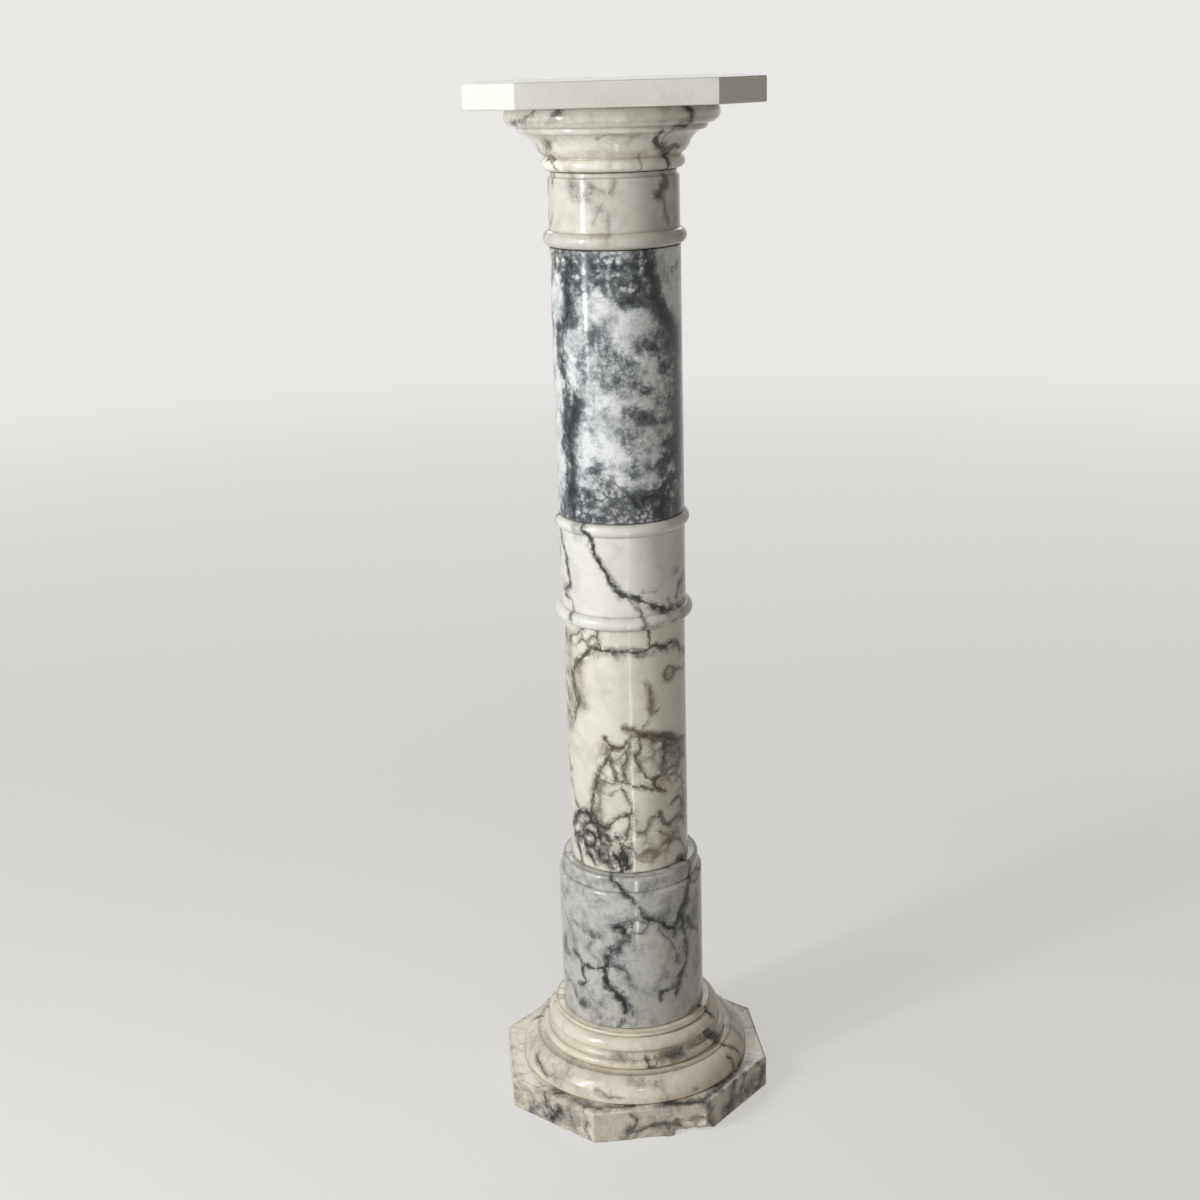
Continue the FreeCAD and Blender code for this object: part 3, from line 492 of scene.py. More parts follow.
class PedestalColours(bpy.types.PropertyGroup):
    """The colours of the stones: the ground, the clouds in it, and the lines of its veins."""

    plinth_ground: tint("Plinth ground", "Pale ground of the eight-sided plinth", (0.82, 0.76, 0.65))
    plinth_shade: tint("Plinth clouds", "Grey clouds of the plinth", (0.36, 0.33, 0.29))
    torus_ground: tint("Torus ground", "Cream ground of the big round", (0.82, 0.76, 0.63))
    torus_shade: tint("Torus clouds", "Beige clouds of the big round", (0.42, 0.38, 0.31))
    collar_ground: tint("Base collar ground", "Cream ground of the base collar", (0.82, 0.76, 0.63))
    collar_shade: tint("Base collar clouds", "Beige clouds of the base collar", (0.42, 0.38, 0.32))
    socle_ground: tint("Socle ground", "Grey-white ground of the socle drum", (0.58, 0.575, 0.545))
    socle_shade: tint("Socle clouds", "Blue-grey clouds of the socle drum", (0.20, 0.205, 0.21))
    lower_ground: tint("Lower shaft ground", "Cream-white ground of the lower shaft", (0.80, 0.77, 0.67))
    lower_shade: tint("Lower shaft clouds", "Grey-beige clouds of the lower shaft", (0.36, 0.34, 0.30))
    middle_ground: tint("Middle collar ground", "White ground of the middle collar", (0.80, 0.79, 0.73))
    middle_shade: tint("Middle collar clouds", "Grey clouds of the middle collar", (0.40, 0.39, 0.36))
    upper_ground: tint("Upper shaft ground", "Blue-white ground of the upper shaft", (0.78, 0.80, 0.80))
    upper_shade: tint("Upper shaft clouds", "Grey clouds of the upper shaft", (0.17, 0.19, 0.205))
    neck_ground: tint("Neck ground", "Grey-white ground of the neck drum", (0.67, 0.655, 0.59))
    neck_shade: tint("Neck clouds", "Grey-brown clouds of the neck drum", (0.34, 0.32, 0.28))
    capital_ground: tint("Capital ground", "Cream ground of the capital", (0.86, 0.83, 0.75))
    capital_shade: tint("Capital clouds", "Beige clouds of the capital", (0.42, 0.38, 0.32))
    plate_ground: tint("Top ground", "White ground of the top", (0.80, 0.79, 0.73))
    plate_shade: tint("Top clouds", "Pale grey clouds of the top", (0.68, 0.66, 0.58))
    ink: tint("Vein", "Dark core of the veins", (0.016, 0.016, 0.018))
    rust: tint("Rust", "Yellow-brown stain beside some veins", (0.30, 0.20, 0.09))
    smoke: tint("Smoke", "Dark blue-grey of the veined zones", (0.028, 0.036, 0.05))
    # Colour of the old dirt, and of the painted shade in the stones' hollows and beside their joints
    grime_and_shade: tint("Grime", "Old dirt in the joints and hollows", (0.13, 0.10, 0.065))


class PedestalFinish(bpy.types.PropertyGroup):
    """The polish and the wear of the stones."""

    polish: bpy.props.FloatProperty(
        name="Polish", description="Roughness of the polished stone", default=0.13, min=0.02, max=1.0
    )
    arris: bpy.props.FloatProperty(
        name="Worn arris", description="How far the sharp edges are worn round", default=0.0006,
        unit="LENGTH", min=0.0, max=0.003,
    )
    plinth_wear: bpy.props.FloatProperty(
        name="Plinth wear", description="Radius by which the facets of the plinth's corners are rounded",
        default=0.0035, unit="LENGTH", min=0.0005, max=0.01,
    )
    chips: bpy.props.FloatProperty(
        name="Chips", description="Depth of the small chips along the edges", default=0.0008,
        unit="LENGTH", min=0.0, max=0.003,
    )


class PedestalStudio(bpy.types.PropertyGroup):
    """The lights, the floor and the camera."""

    camera_place: bpy.props.FloatVectorProperty(
        name="Camera place", description="Where the camera stands", default=(-0.18191, -1.62927, 1.06203),
        subtype="TRANSLATION", unit="LENGTH", size=3,
    )
    heading: bpy.props.FloatProperty(
        name="Heading", description="Way the camera faces, from +Y towards +X", default=math.radians(5.536),
        subtype="ANGLE",
    )
    dip: bpy.props.FloatProperty(
        name="Dip", description="How far the camera looks down", default=math.radians(17.561), subtype="ANGLE"
    )
    roll: bpy.props.FloatProperty(
        name="Roll", description="How far the camera leans", default=math.radians(-1.673), subtype="ANGLE"
    )
    lens: bpy.props.FloatProperty(
        name="Lens", description="Focal length in mm on a 36 mm frame", default=51.3075, min=10.0, max=300.0
    )
    floor: tint("Floor", "Pale colour of the floor and the background", (0.82, 0.81, 0.79))
    floor_glow: bpy.props.FloatProperty(
        name="Floor glow", description="How much paler the floor looks than the lamps make it",
        default=0.6, min=0.0,
    )
    key_power: bpy.props.FloatProperty(
        name="Key light", description="Power of the big soft light on the left",
        default=19.0, min=0.0, unit="POWER",
    )
    sky: bpy.props.FloatProperty(
        name="Sky", description="Strength of the light from all round", default=0.11, min=0.0, max=2.0
    )


# Shader expressions -----------------------------------------------------------------------------------


class Number:
    """A shader socket that carries a number. Arithmetic on it adds Math nodes."""

    def __init__(self, paint, socket):
        self.paint = paint
        self.socket = socket

    def _math(self, operation, *values):
        made = self.paint.node("ShaderNodeMath", {"operation": operation}, dict(enumerate(values)))
        return Number(self.paint, made.outputs[0])

    def __add__(self, other):
        return self._math("ADD", self, other)

    __radd__ = __add__

    def __sub__(self, other):
        return self._math("SUBTRACT", self, other)

    def __rsub__(self, other):
        return self._math("SUBTRACT", other, self)

    def __mul__(self, other):
        return self._math("MULTIPLY", self, other)

    __rmul__ = __mul__

    def __truediv__(self, other):
        return self._math("DIVIDE", self, other)

    def __rtruediv__(self, other):
        return self._math("DIVIDE", other, self)

    def __abs__(self):
        return self._math("ABSOLUTE", self)

    def most(self, other):
        """The larger of the two."""
        return self._math("MAXIMUM", self, other)

    def held(self):
        """The value kept between 0 and 1."""
        return self._math("MINIMUM", self._math("MAXIMUM", self, 0.0), 1.0)


class Paint:
    """One material under construction."""

    def __init__(self, name):
        self.material = bpy.data.materials.new(name)
        self.material.use_nodes = True
        self.tree = self.material.node_tree
        self.tree.nodes.clear()
        self.shader = self.node("ShaderNodeBsdfPrincipled")
        self.node("ShaderNodeOutputMaterial", {}, {"Surface": self.shader.outputs[0]})

    @classmethod
    def on_tree(cls, tree):
        """The same for a node tree that is there already, such as the world's."""
        paint = cls.__new__(cls)
        paint.tree = tree
        tree.nodes.clear()
        return paint

    def node(self, kind, settings=None, sockets=None):
        """A node of this kind. Its settings are set first, and then the values or links of its sockets."""
        made = self.tree.nodes.new(kind)
        for key, value in (settings or {}).items():
            setattr(made, key, value)
        for key, value in (sockets or {}).items():
            self.feed(made.inputs[key], value)
        return made

    def feed(self, socket, value):
        """Gives a socket its value or its link."""
        if isinstance(value, Number):
            value = value.socket
        if isinstance(value, bpy.types.NodeSocket):
            self.tree.links.new(value, socket)
        else:
            socket.default_value = value

    def set(self, **values):
        """Values or links of the shader's own sockets, by their names with _ for a space."""
        for key, value in values.items():
            self.feed(self.shader.inputs[key.replace("_", " ")], value)

    def place(self):
        """The point on the surface in mm, as a vector."""
        here = self.node("ShaderNodeTexCoord").outputs["Object"]
        scaled = self.node("ShaderNodeVectorMath", {"operation": "SCALE"}, {0: here, "Scale": 1.0 / MM})
        return scaled.outputs[0]

    def shift(self, vector, other, amount):
        """vector + other * amount, for vectors."""
        moved = self.node(
            "ShaderNodeVectorMath", {"operation": "MULTIPLY_ADD"}, {0: other, 1: (amount,) * 3, 2: vector}
        )
        return moved.outputs[0]

    def noise(self, vector, size, detail=3.0, roughness=0.5):
        """Cloudy noise about 0 whose forms are about size mm across."""
        made = self.node(
            "ShaderNodeTexNoise",
            {},
            {"Vector": vector, "Scale": 1.0 / size, "Detail": detail, "Roughness": roughness},
        )
        return Number(self, made.outputs["Fac"]) - 0.5

    def wander(self, vector, size, amount, detail=2.0):
        """vector moved about by noise: forms of size mm, moved by up to about amount mm."""
        made = self.node("ShaderNodeTexNoise", {}, {"Vector": vector, "Scale": 1.0 / size, "Detail": detail})
        centred = self.node(
            "ShaderNodeVectorMath", {"operation": "SUBTRACT"}, {0: made.outputs["Color"], 1: (0.5, 0.5, 0.5)}
        )
        return self.shift(vector, centred.outputs[0], 2.0 * amount)

    def cells(self, vector, size):
        """Distance in mm to the nearest wall of cells about size mm across."""
        made = self.node(
            "ShaderNodeTexVoronoi", {"feature": "DISTANCE_TO_EDGE"}, {"Vector": vector, "Scale": 1.0 / size}
        )
        return Number(self, made.outputs["Distance"]) * size

    def marks(self, name):
        """The three numbers that an attribute of the mesh holds."""
        stored = self.node("ShaderNodeAttribute", {"attribute_name": name}).outputs["Vector"]
        parts = self.node("ShaderNodeSeparateXYZ", {}, {0: stored})
        return [Number(self, part) for part in parts.outputs]

    def mix(self, share, first, second):
        """first where share is 0, second where it is 1, for colours."""
        colours = {MIX_FIRST: rgba(first), MIX_SECOND: rgba(second)}
        blended = self.node("ShaderNodeMix", {"data_type": "RGBA"}, {"Factor": share, **colours})
        return blended.outputs[MIX_RESULT]

    def relief(self, height, depth):
        """A bump from a height field that is worth depth metres."""
        bump = self.node("ShaderNodeBump", {}, {"Height": height, "Distance": depth, "Strength": 1.0})
        return bump.outputs["Normal"]


def rgba(colour):
    """A colour as a Mix node takes it. A link stays as it is."""
    if isinstance(colour, (Number, bpy.types.NodeSocket)):
        return colour
    return (*colour[:3], 1.0)


def band(value, near, far):
    """1 below near, falling evenly to 0 at far."""
    return ((far - value) / (far - near)).held()


def vein_strokes(paint, point, crumb, ink):
    """The drawn veins with their knots, each with a thinner strand that leaves it and joins it again.

    The second value is the smoky haze that they lie in."""
    across, near, width = paint.marks("vein")
    fray = paint.noise(point, 11.0, 3.0, 0.5) * 8.0 + paint.noise(point, 2.6, 3.0, 0.55) * 1.6
    swell = (paint.noise(point, 8.0, 3.0, 0.6) * 7.0 + 1.25).most(0.3)
    fade = (paint.noise(point, 10.0, 3.0) * 3.5 + 1.0).held()
    line = abs(across + fray).most(near - END_GAP)
    core = (band(line / (width * swell), 0.45, 1.9) * ink * fade * 1.25).held()
    apart = paint.noise(point, 13.0, 3.0) * 20.0
    strand = abs(across + fray * 0.6 + apart).most(near - STRAND_REACH)
    strand = band(strand / (width * swell), 0.0, 1.0) * ink * band(near, 2.5, STRAND_REACH) * 0.8
    haze = band(line / (width * 2.2 + 4.0), 0.0, 1.0) * ink
    specks = (crumb * 4.5 - 0.75 + haze * 1.2).held() * haze
    return core.most(strand).most(specks * 0.85), haze


def pebble_walls(paint, point, size):
    """The thin dark walls between pebbles about size mm across, or here and there half as large.

    The second value is the soft shade on both sides of the walls."""
    loose = paint.wander(point, size * 0.9, size * 0.3, 4.0)
    wall = paint.cells(loose, size)
    small_wall = paint.cells(loose, size * 0.5)
    drawn = (paint.noise(point, size * 1.4, 2.0) * 3.0 + 0.6).held()
    walls = (band(wall, 0.1, 1.5) * drawn).most(band(small_wall, 0.0, 1.3) * (1.15 - drawn).held() * 0.8)
    return walls, band(wall, 0.0, size * 0.3) * 1.4 - 0.6


def marble(name, stone, colours, finish):
    """Polished marble: clouded ground, smoky and rusty zones, drawn veins and a finer network of its own."""
    paint = Paint(name)
    ground = getattr(colours, stone.look + "_ground")
    shade = getattr(colours, stone.look + "_shade")
    # The third number of the ink attribute is the old dirt and painted shade of the hollows and joints
    ink, vein_rust, grime_and_shade = paint.marks("ink")
    smoke, rust, network = paint.marks("cloud")
    point = paint.place()
    bent = paint.wander(point, 24.0, 8.0, 3.0)
    billow = paint.noise(bent, 34.0, 5.0, 0.58)
    wisp = paint.noise(bent, 11.0, 6.0, 0.68)
    crumb = paint.noise(point, 3.4, 4.0, 0.6)
    grain = paint.noise(point, 0.9, 2.0)
    tear = billow * 1.8 + wisp * 2.4 + crumb * 0.9

    drawn, haze = vein_strokes(paint, point, crumb, ink)
    walls, shadows = pebble_walls(paint, point, stone.cells)
    hair = band(paint.cells(paint.wander(point, 12.0, 9.0, 4.0), 29.0), 0.0, 0.8)
    hair = hair * (paint.noise(point, 30.0, 2.0) * 4.0 + 0.1).held() * stone.crackle
    ghost = band(paint.cells(bent, 33.0), 0.0, 6.0) * (billow * 3.0 + 0.3).held() * 0.4 * stone.mottle

    # How dark the ground is: smoky zones torn up by noise, pale flecks in them, and the veins' haze
    fleck = (paint.noise(point, 5.5, 4.0, 0.62) * 5.0 - 0.35).held() * smoke
    zone = smoke * 0.92 + tear * (smoke * 0.85 + 0.6 * stone.mottle) + 0.1 * stone.mottle - fleck * 0.5
    zone = zone + haze * (tear * 1.2 + 0.75) * 0.62 + shadows * network * 0.6 + ghost
    # The clouds' rust and smoke also carry the painted warm shade down the right sides of the socle, the
    # middle collar and the neck
    warm = (paint.noise(bent, 60.0, 2.0) * 2.5 + 0.1).held() * 0.12 + rust * (tear * 0.9 + 0.75).held() * 0.7
    base = paint.mix((zone * 1.8).held(), ground, shade)
    base = paint.mix(warm.held(), base, colours.rust)
    base = paint.mix((zone * 1.35 - 0.8).held(), base, colours.smoke)

    # The dark lines on it, with fine filaments where it is smoky, and last the dirt with painted shade in the
    # hollows and beside the joints
    filament = band(abs(paint.noise(bent, 12.0, 6.0, 0.66)), 0.0, 0.035)
    filament = filament.most(band(abs(paint.noise(point, 5.0, 3.0, 0.6)), 0.0, 0.04) * 0.7)
    filament = filament * (zone * 1.8 - 0.35).held() * 0.9
    inked = paint.mix((vein_rust * 0.8).held(), colours.ink, colours.rust)
    strokes = drawn.most(walls * network).most(filament).most(hair * 0.55)
    base = paint.mix(strokes.held() * 0.93, base, inked)
    # Painted shade: the hollows and the sides of the joints are darkened along with their old dirt, and made
    # rougher
    dirt_and_shade = (grime_and_shade * (paint.noise(point, 3.0, 3.0) * 1.6 + 0.9)).held()
    base = paint.mix(dirt_and_shade * 0.85, base, colours.grime_and_shade)

    paint.set(
        Base_Color=base,
        Roughness=(wisp * 0.08 + strokes * 0.08 + dirt_and_shade * 0.4).most(0.0) + finish.polish,
        IOR=1.5,
        Specular_IOR_Level=0.36,
        Normal=paint.relief(grain * 0.012 - strokes * 0.05 - dirt_and_shade * 0.2 + wisp * 0.08, 0.0006),
    )
    return paint.material


def setting_plaster(colours):
    """Old plaster in a joint, dark and soiled."""
    paint = Paint("setting_plaster")
    point = paint.place()
    grains = paint.noise(point, 1.6, 4.0, 0.6)
    patches = (paint.noise(point, 14.0, 3.0) * 2.0 + 0.5).held()
    base = paint.mix(patches, (0.10, 0.085, 0.065), (0.035, 0.028, 0.02))
    paint.set(
        Base_Color=paint.mix((grains + 0.4).held() * 0.5, base, colours.grime_and_shade),
        Roughness=0.9 + grains * 0.1,
        Normal=paint.relief(grains, 0.0006),
    )
    return paint.material


def black_iron():
    """Forged iron with a dull black skin and some rust."""
    paint = Paint("black_iron")
    point = paint.place()
    scale = paint.noise(point, 2.2, 4.0, 0.6)
    rusted = (paint.noise(point, 7.0, 4.0) * 4.0 - 0.2).held()
    paint.set(
        Base_Color=paint.mix(rusted, (0.045, 0.043, 0.042), (0.16, 0.065, 0.028)),
        Metallic=0.9 - rusted * 0.8,
        Roughness=0.5 + rusted * 0.35 + scale * 0.1,
        Normal=paint.relief(scale, 0.0003),
    )
    return paint.material


def worn_brass():
    """Brass sheet rubbed bright in rings by the turning top."""
    paint = Paint("worn_brass")
    point = paint.place()
    tarnish = (paint.noise(point, 8.0, 4.0) * 2.5 + 0.45).held()
    rings = paint.node(
        "ShaderNodeTexWave",
        {"wave_type": "RINGS", "rings_direction": "Z"},
        {"Vector": point, "Scale": 0.9, "Distortion": 0.6, "Detail": 2.0},
    )
    rubbed = Number(paint, rings.outputs["Fac"])
    paint.set(
        Base_Color=paint.mix(tarnish, (0.72, 0.50, 0.20), (0.30, 0.20, 0.09)),
        Metallic=1.0,
        Roughness=0.28 + tarnish * 0.25 + rubbed * 0.1,
        Normal=paint.relief(rubbed, 0.00005),
    )
    return paint.material


# Sections and outlines read from the frame ------------------------------------------------------------


def cut(node, point, normal):
    """The closed loops, in mm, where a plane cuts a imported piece."""
    work = bmesh.new()
    work.from_mesh(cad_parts[node].data)
    bmesh.ops.remove_doubles(work, verts=work.verts, dist=1e-6)
    every = work.verts[:] + work.edges[:] + work.faces[:]
    found = bmesh.ops.bisect_plane(work, geom=every, dist=1e-6, plane_co=point, plane_no=normal)["geom_cut"]
    links = {}
    for edge in found:
        if isinstance(edge, bmesh.types.BMEdge):
            first, last = edge.verts
            links.setdefault(first, []).append(last)
            links.setdefault(last, []).append(first)
    loops = []
    while links:
        here = next(iter(links))
        loop = []
        while here in links:
            loop.append(here.co / MM)
            onward = links.pop(here)
            here = next((v for v in onward if v in links), None)
        loops.append(loop)
    work.free()
    return loops


def turn_at(before, here, after):
    """The angle by which a path turns at a point."""
    first = np.subtract(here, before)
    second = np.subtract(after, here)
    return math.atan2(first[0] * second[1] - first[1] * second[0], float(first @ second))


def plain_loop(points, least_turn):
    """A loop, counted anticlockwise, without the points where it turns by less than least_turn."""
    points = [tuple(map(float, p)) for p in points]
    kept = []
    for i, here in enumerate(points):
        if abs(turn_at(points[i - 1], here, points[(i + 1) % len(points)])) > least_turn:
            kept.append(here)
    area = sum(p[0] * q[1] - q[0] * p[1] for p, q in zip(kept, kept[1:] + kept[:1]))
    return kept if area > 0 else kept[::-1]


def right_half(loop):
    """The part of a loop that lies to the right of the axis, closed along it."""
    kept = []
    for p, q in zip(loop, loop[1:] + loop[:1]):
        if p[0] >= 0:
            kept.append(p)
        if p[0] * q[0] < 0:
            share = p[0] / (p[0] - q[0])
            kept.append((0.0, p[1] + share * (q[1] - p[1])))
    return kept


def section(node):
    """Half of a piece's section through the axis, as a loop of (radius, height) in mm.

    Where there is no bore right through, the loop runs along the axis from its last point to its first."""
    halves = [right_half([(p.x, p.z) for p in loop]) for loop in cut(node, (0, 0, 0), (0, 1, 0))]
    loop = plain_loop(max(halves, key=len), IN_LINE)
    on_axis = [i for i, p in enumerate(loop) if p[0] < ON_AXIS]
    if on_axis:
        first = next(i for i in on_axis if loop[i - 1][0] < ON_AXIS)
        loop = loop[first:] + loop[:first]
    return loop


def split_flats(loop, under, over):
    """The loop with a point in its flat foot at the radius under, and in its flat head at the radius over."""
    low = min(p[1] for p in loop)
    high = max(p[1] for p in loop)
    made = []
    for p, q in zip(loop, loop[1:] + loop[:1]):
        made.append(p)
        for level, radius in ((low, under), (high, over)):
            flat = abs(p[1] - level) < 1e-3 and abs(q[1] - level) < 1e-3
            if flat and min(p[0], q[0]) < radius < max(p[0], q[0]):
                made.append((radius, level))
    return made


def outline(node):
    """A slab's outline at half its height, as a loop of (x, y) in mm."""
    low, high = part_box(node)
    loops = [[(p.x, p.y) for p in loop] for loop in cut(node, (0, 0, (low.z + high.z) / 2), (0, 0, 1))]
    return plain_loop(max(loops, key=lambda loop: max(loop)[0]), OUTLINE_TURN)


def between(before, start, end, after, t):
    """A point at t on the curve from start to end that also heeds the points on either side."""
    a, b, c, d = (np.array(p) for p in (before, start, end, after))
    return 0.5 * (2 * b + (c - a) * t + (2 * a - 5 * b + 4 * c - d) * t * t + (3 * b - a - 3 * c + d) * t**3)


def refine(loop, worn, under=math.inf, over=math.inf):
    """A section with its corners worn round by worn mm, and no edge that shows longer than a cell.

    Its flat foot shows outside the radius under, and its flat head outside the radius over."""
    loop = split_flats(loop, under, over)
    low = min(p[1] for p in loop)
    high = max(p[1] for p in loop)
    count = len(loop)
    turns = [turn_at(loop[i - 1], loop[i], loop[(i + 1) % count]) for i in range(count)]
    corner = [abs(t) > CORNER_TURN and p[0] > ON_AXIS for t, p in zip(turns, loop)]
    points = []
    for i in range(count):
        before, start, end, after = (np.array(loop[(i + k) % count]) for k in (-1, 0, 1, 2))
        length = np.linalg.norm(end - start)
        away = (end - start) / length
        trim = [min(worn, WORN_SHARE * length) if corner[(i + k) % count] else 0.0 for k in (0, 1)]
        if corner[i]:
            came = start - before
            reach = min(worn, WORN_SHARE * np.linalg.norm(came))
            back = start - came / np.linalg.norm(came) * reach
            front = start + away * trim[0]
            for t in (0.0, 0.25, 0.5, 0.75):
                points.append((1 - t) ** 2 * back + 2 * t * (1 - t) * start + t * t * front)
        first = start + away * trim[0]
        last = end - away * trim[1]
        points.append(first)
        inner = min(start[0], end[0]) + 1e-6
        hidden = any(
            start[1] == end[1] == level and inner < radius for level, radius in ((low, under), (high, over))
        ) or (max(start[0], end[0]) < HIDDEN_RADIUS and inner > ON_AXIS)
        cell = FLAT_CELL if start[1] == end[1] and length > 10 * CELL else CELL
        steps = 1 if hidden else max(1, math.ceil(np.linalg.norm(last - first) / cell))
        curved = length < STRAIGHT and not (corner[i] or corner[(i + 1) % count])
        for k in range(1, steps):
            t = k / steps
            points.append(between(before, start, end, after, t) if curved else first + (last - first) * t)
    return [tuple(p) for p, q in zip(points, points[1:] + points[:1]) if np.linalg.norm(p - q) > 1e-3]


def rounded(corners, radius):
    """An outline with rounded corners and its sides cut into cells, and the outward way at each point."""
    points = []
    ways = []
    count = len(corners)
    for i in range(count):
        before, here, after = (np.array(corners[(i + k) % count]) for k in (-1, 0, 1))
        came = (here - before) / np.linalg.norm(here - before)
        goes = (after - here) / np.linalg.norm(after - here)
        turn = turn_at(before, here, after)
        reach = radius * math.tan(turn / 2)
        out = np.array((came[1], -came[0]))
        centre = here - came * reach - out * radius
        steps = max(3, math.ceil(radius * turn / (0.6 * CELL)))
        for k in range(steps + 1):
            angle = turn * k / steps
            way = out * math.cos(angle) + came * math.sin(angle)
            points.append(centre + way * radius)
            ways.append(way)
        length = np.linalg.norm(after - here) - 2 * reach
        parts = math.ceil(length / CELL)
        for k in range(1, parts):
            points.append(here + goes * (reach + length * k / parts))
            ways.append(way)
    return np.array(points), np.array(ways)


# Meshes -----------------------------------------------------------------------------------------------


def grid_mesh(name, places):
    """A closed mesh from rows of points in mm.

    Each row is a ring. The last row joins the first, or both are single points on the axis."""
    rows, columns = places.shape[:2]
    index = np.arange(rows * columns).reshape(rows, columns)
    if np.ptp(places[0, :, 0]) < ON_AXIS:
        index[0] = index[0, 0]
        index[-1] = index[-1, 0]
    up = np.roll(index, -1, 0)
    faces = np.stack([index, np.roll(index, -1, 1), np.roll(up, -1, 1), up], -1).reshape(-1, 4)
    if index[0, 0] == index[0, 1]:
        faces = faces[:-columns]
    mesh = bpy.data.meshes.new(name)
    mesh.from_pydata((places.reshape(-1, 3) * MM).tolist(), [], faces.tolist())
    mesh.validate()
    mesh.shade_smooth()
    mesh.set_sharp_from_angle(angle=SHARP)
    return mesh


def smooth_path(path, scale):
    """A mark's path on the unrolled stone, in mm, with the corners between its points drawn as a curve."""
    padded = [path[0], *path, path[-1]]
    smooth = [between(*padded[i : i + 4], t) for i in range(len(path) - 1) for t in (0.0, 0.34, 0.67)]
    smooth.append(np.array(path[-1], float))
    return np.array(smooth) * (scale, 1.0)


def around(spots, path, scale, reach):
    """Where a path, or its copy one turn further round, is within reach.

    Gives the spots' places in the list and their signed distances to the path."""
    for turn in (-360.0, 0.0, 360.0):
        line = path + (turn * scale, 0.0)
        close = (spots > line.min(0) - reach) & (spots < line.max(0) + reach)
        close = np.flatnonzero(close.all(1))
        if not len(close):
            continue
        way = np.diff(line, axis=0)
        gap = spots[close][:, None, :] - line[None, :-1]
        share = np.clip((gap * way).sum(2) / np.maximum((way**2).sum(1), 1e-9), 0, 1)
        far = np.sqrt(((gap - share[..., None] * way) ** 2).sum(2))
        best = far.argmin(1)
        row = np.arange(len(close))
        side = way[best, 0] * gap[row, best, 1] - way[best, 1] * gap[row, best, 0]
        yield close, np.where(side < 0, -1.0, 1.0) * far[row, best]


def behind(marks, height):
    """A stone's marks for its back, which the front view doesn't show: turned round and upside down."""
    return [mark._replace(path=tuple((a + 180, height - z) for a, z in mark.path)) for mark in marks]


def stray_veins(seed, height, count):
    """Some veins that wander over the sides of a stone, where the drawn ones end."""
    draw = random.Random(seed)
    made = []
    for _ in range(count):
        angle = draw.choice((-1, 1)) * draw.uniform(72, 108)
        level = draw.uniform(0.0, height)
        lean = draw.uniform(-1.0, 1.0)
        path = []
        for _ in range(draw.randint(4, 8)):
            path.append((angle, level))
            angle += draw.uniform(3, 8) * lean
            level += draw.uniform(-12, 12)
        width = draw.uniform(0.8, 1.6)
        ink = draw.uniform(0.35, 0.8)
        made.append(Vein(tuple(path), width, ink, draw.uniform(0.0, 0.4)))
    return made


def mark_stone(mesh, name, stone, along, grime_and_shade):
    """Writes the veins, zones, and old dirt with painted shade of a stone into its mesh.

    along is each vertex's height above the foot in mm, counted on over a slab's head and under its foot."""
    places = np.empty(len(mesh.vertices) * 3)
    mesh.vertices.foreach_get("co", places)
    places = places.reshape(-1, 3) / MM
    low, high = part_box(name)
    height = (high.z - low.z) / MM
    angle = np.degrees(np.arctan2(places[:, 0], -places[:, 1]))
    scale = math.radians(1.0) * (high.y - low.y) / 2 / MM
    stir = np.array([noise.noise_vector(Vector(p) / STIR_SIZE) for p in places])[:, :2] * STIR
    spots = np.stack([angle * scale, along], 1) + stir

    strays = stray_veins(name, height, int(height / STRAY_SPACING) + 2)
    veins = list(stone.veins) + behind(stone.veins, height) + strays
    across = np.full(len(spots), REACH)
    traits = np.zeros((len(spots), 3))
    for vein in veins:
        for close, signed in around(spots, smooth_path(vein.path, scale), scale, REACH):
            nearer = np.abs(signed) < np.abs(across[close])
            across[close[nearer]] = signed[nearer]
            traits[close[nearer]] = (vein.width, vein.ink, vein.rust)
    write(mesh, "vein", np.stack([across, np.abs(across), traits[:, 0]], 1))
    # Its third number is the old dirt and painted shade of the hollows and joints
    write(mesh, "ink", np.stack([traits[:, 1], traits[:, 2], grime_and_shade], 1))

    zones = np.zeros((len(places), 3))
    for cloud in list(stone.clouds) + behind(stone.clouds, height):
        for close, signed in around(spots, smooth_path(cloud.path, scale), scale, CLOUD_REACH * cloud.width):
            soft = np.exp(-((signed / cloud.width) ** 2))[:, None]
            zones[close] = np.maximum(zones[close], soft * (cloud.smoke, cloud.rust, cloud.cells))
    # The zones include the painted shade down the right sides of the socle, the middle collar and the neck
    write(mesh, "cloud", zones)


def write(mesh, name, vectors):
    """Stores a vector for each vertex."""
    made = mesh.attributes.new(name, "FLOAT_VECTOR", "POINT")
    made.data.foreach_set("vector", np.ascontiguousarray(vectors, np.float32).ravel())


def section_grime_and_shade(loop):
    """How much old dirt and painted shade each point of a section gets: most in hollow corners and beside the
    joints.
    """
    count = len(loop)
    points = np.array(loop)
    low, high = points[:, 1].min(), points[:, 1].max()
    grime_and_shade = np.zeros(count)
    for i in range(count):
        turn = turn_at(loop[i - 1], loop[i], loop[(i + 1) % count])
        if turn < -HOLLOW_TURN:
            grime_and_shade[i] = min(1.0, -turn * HOLLOW_GRIME_AND_SHADE)
    spread = np.maximum(grime_and_shade, 0.55 * np.maximum(np.roll(grime_and_shade, 1), np.roll(grime_and_shade, -1)))
    edge = np.minimum(points[:, 1] - low, high - points[:, 1])
    joints = JOINT_GRIME_AND_SHADE * np.exp(-edge / JOINT_SPREAD) * (edge > 1e-3)
    return np.clip(np.maximum(spread, joints), 0, 1)


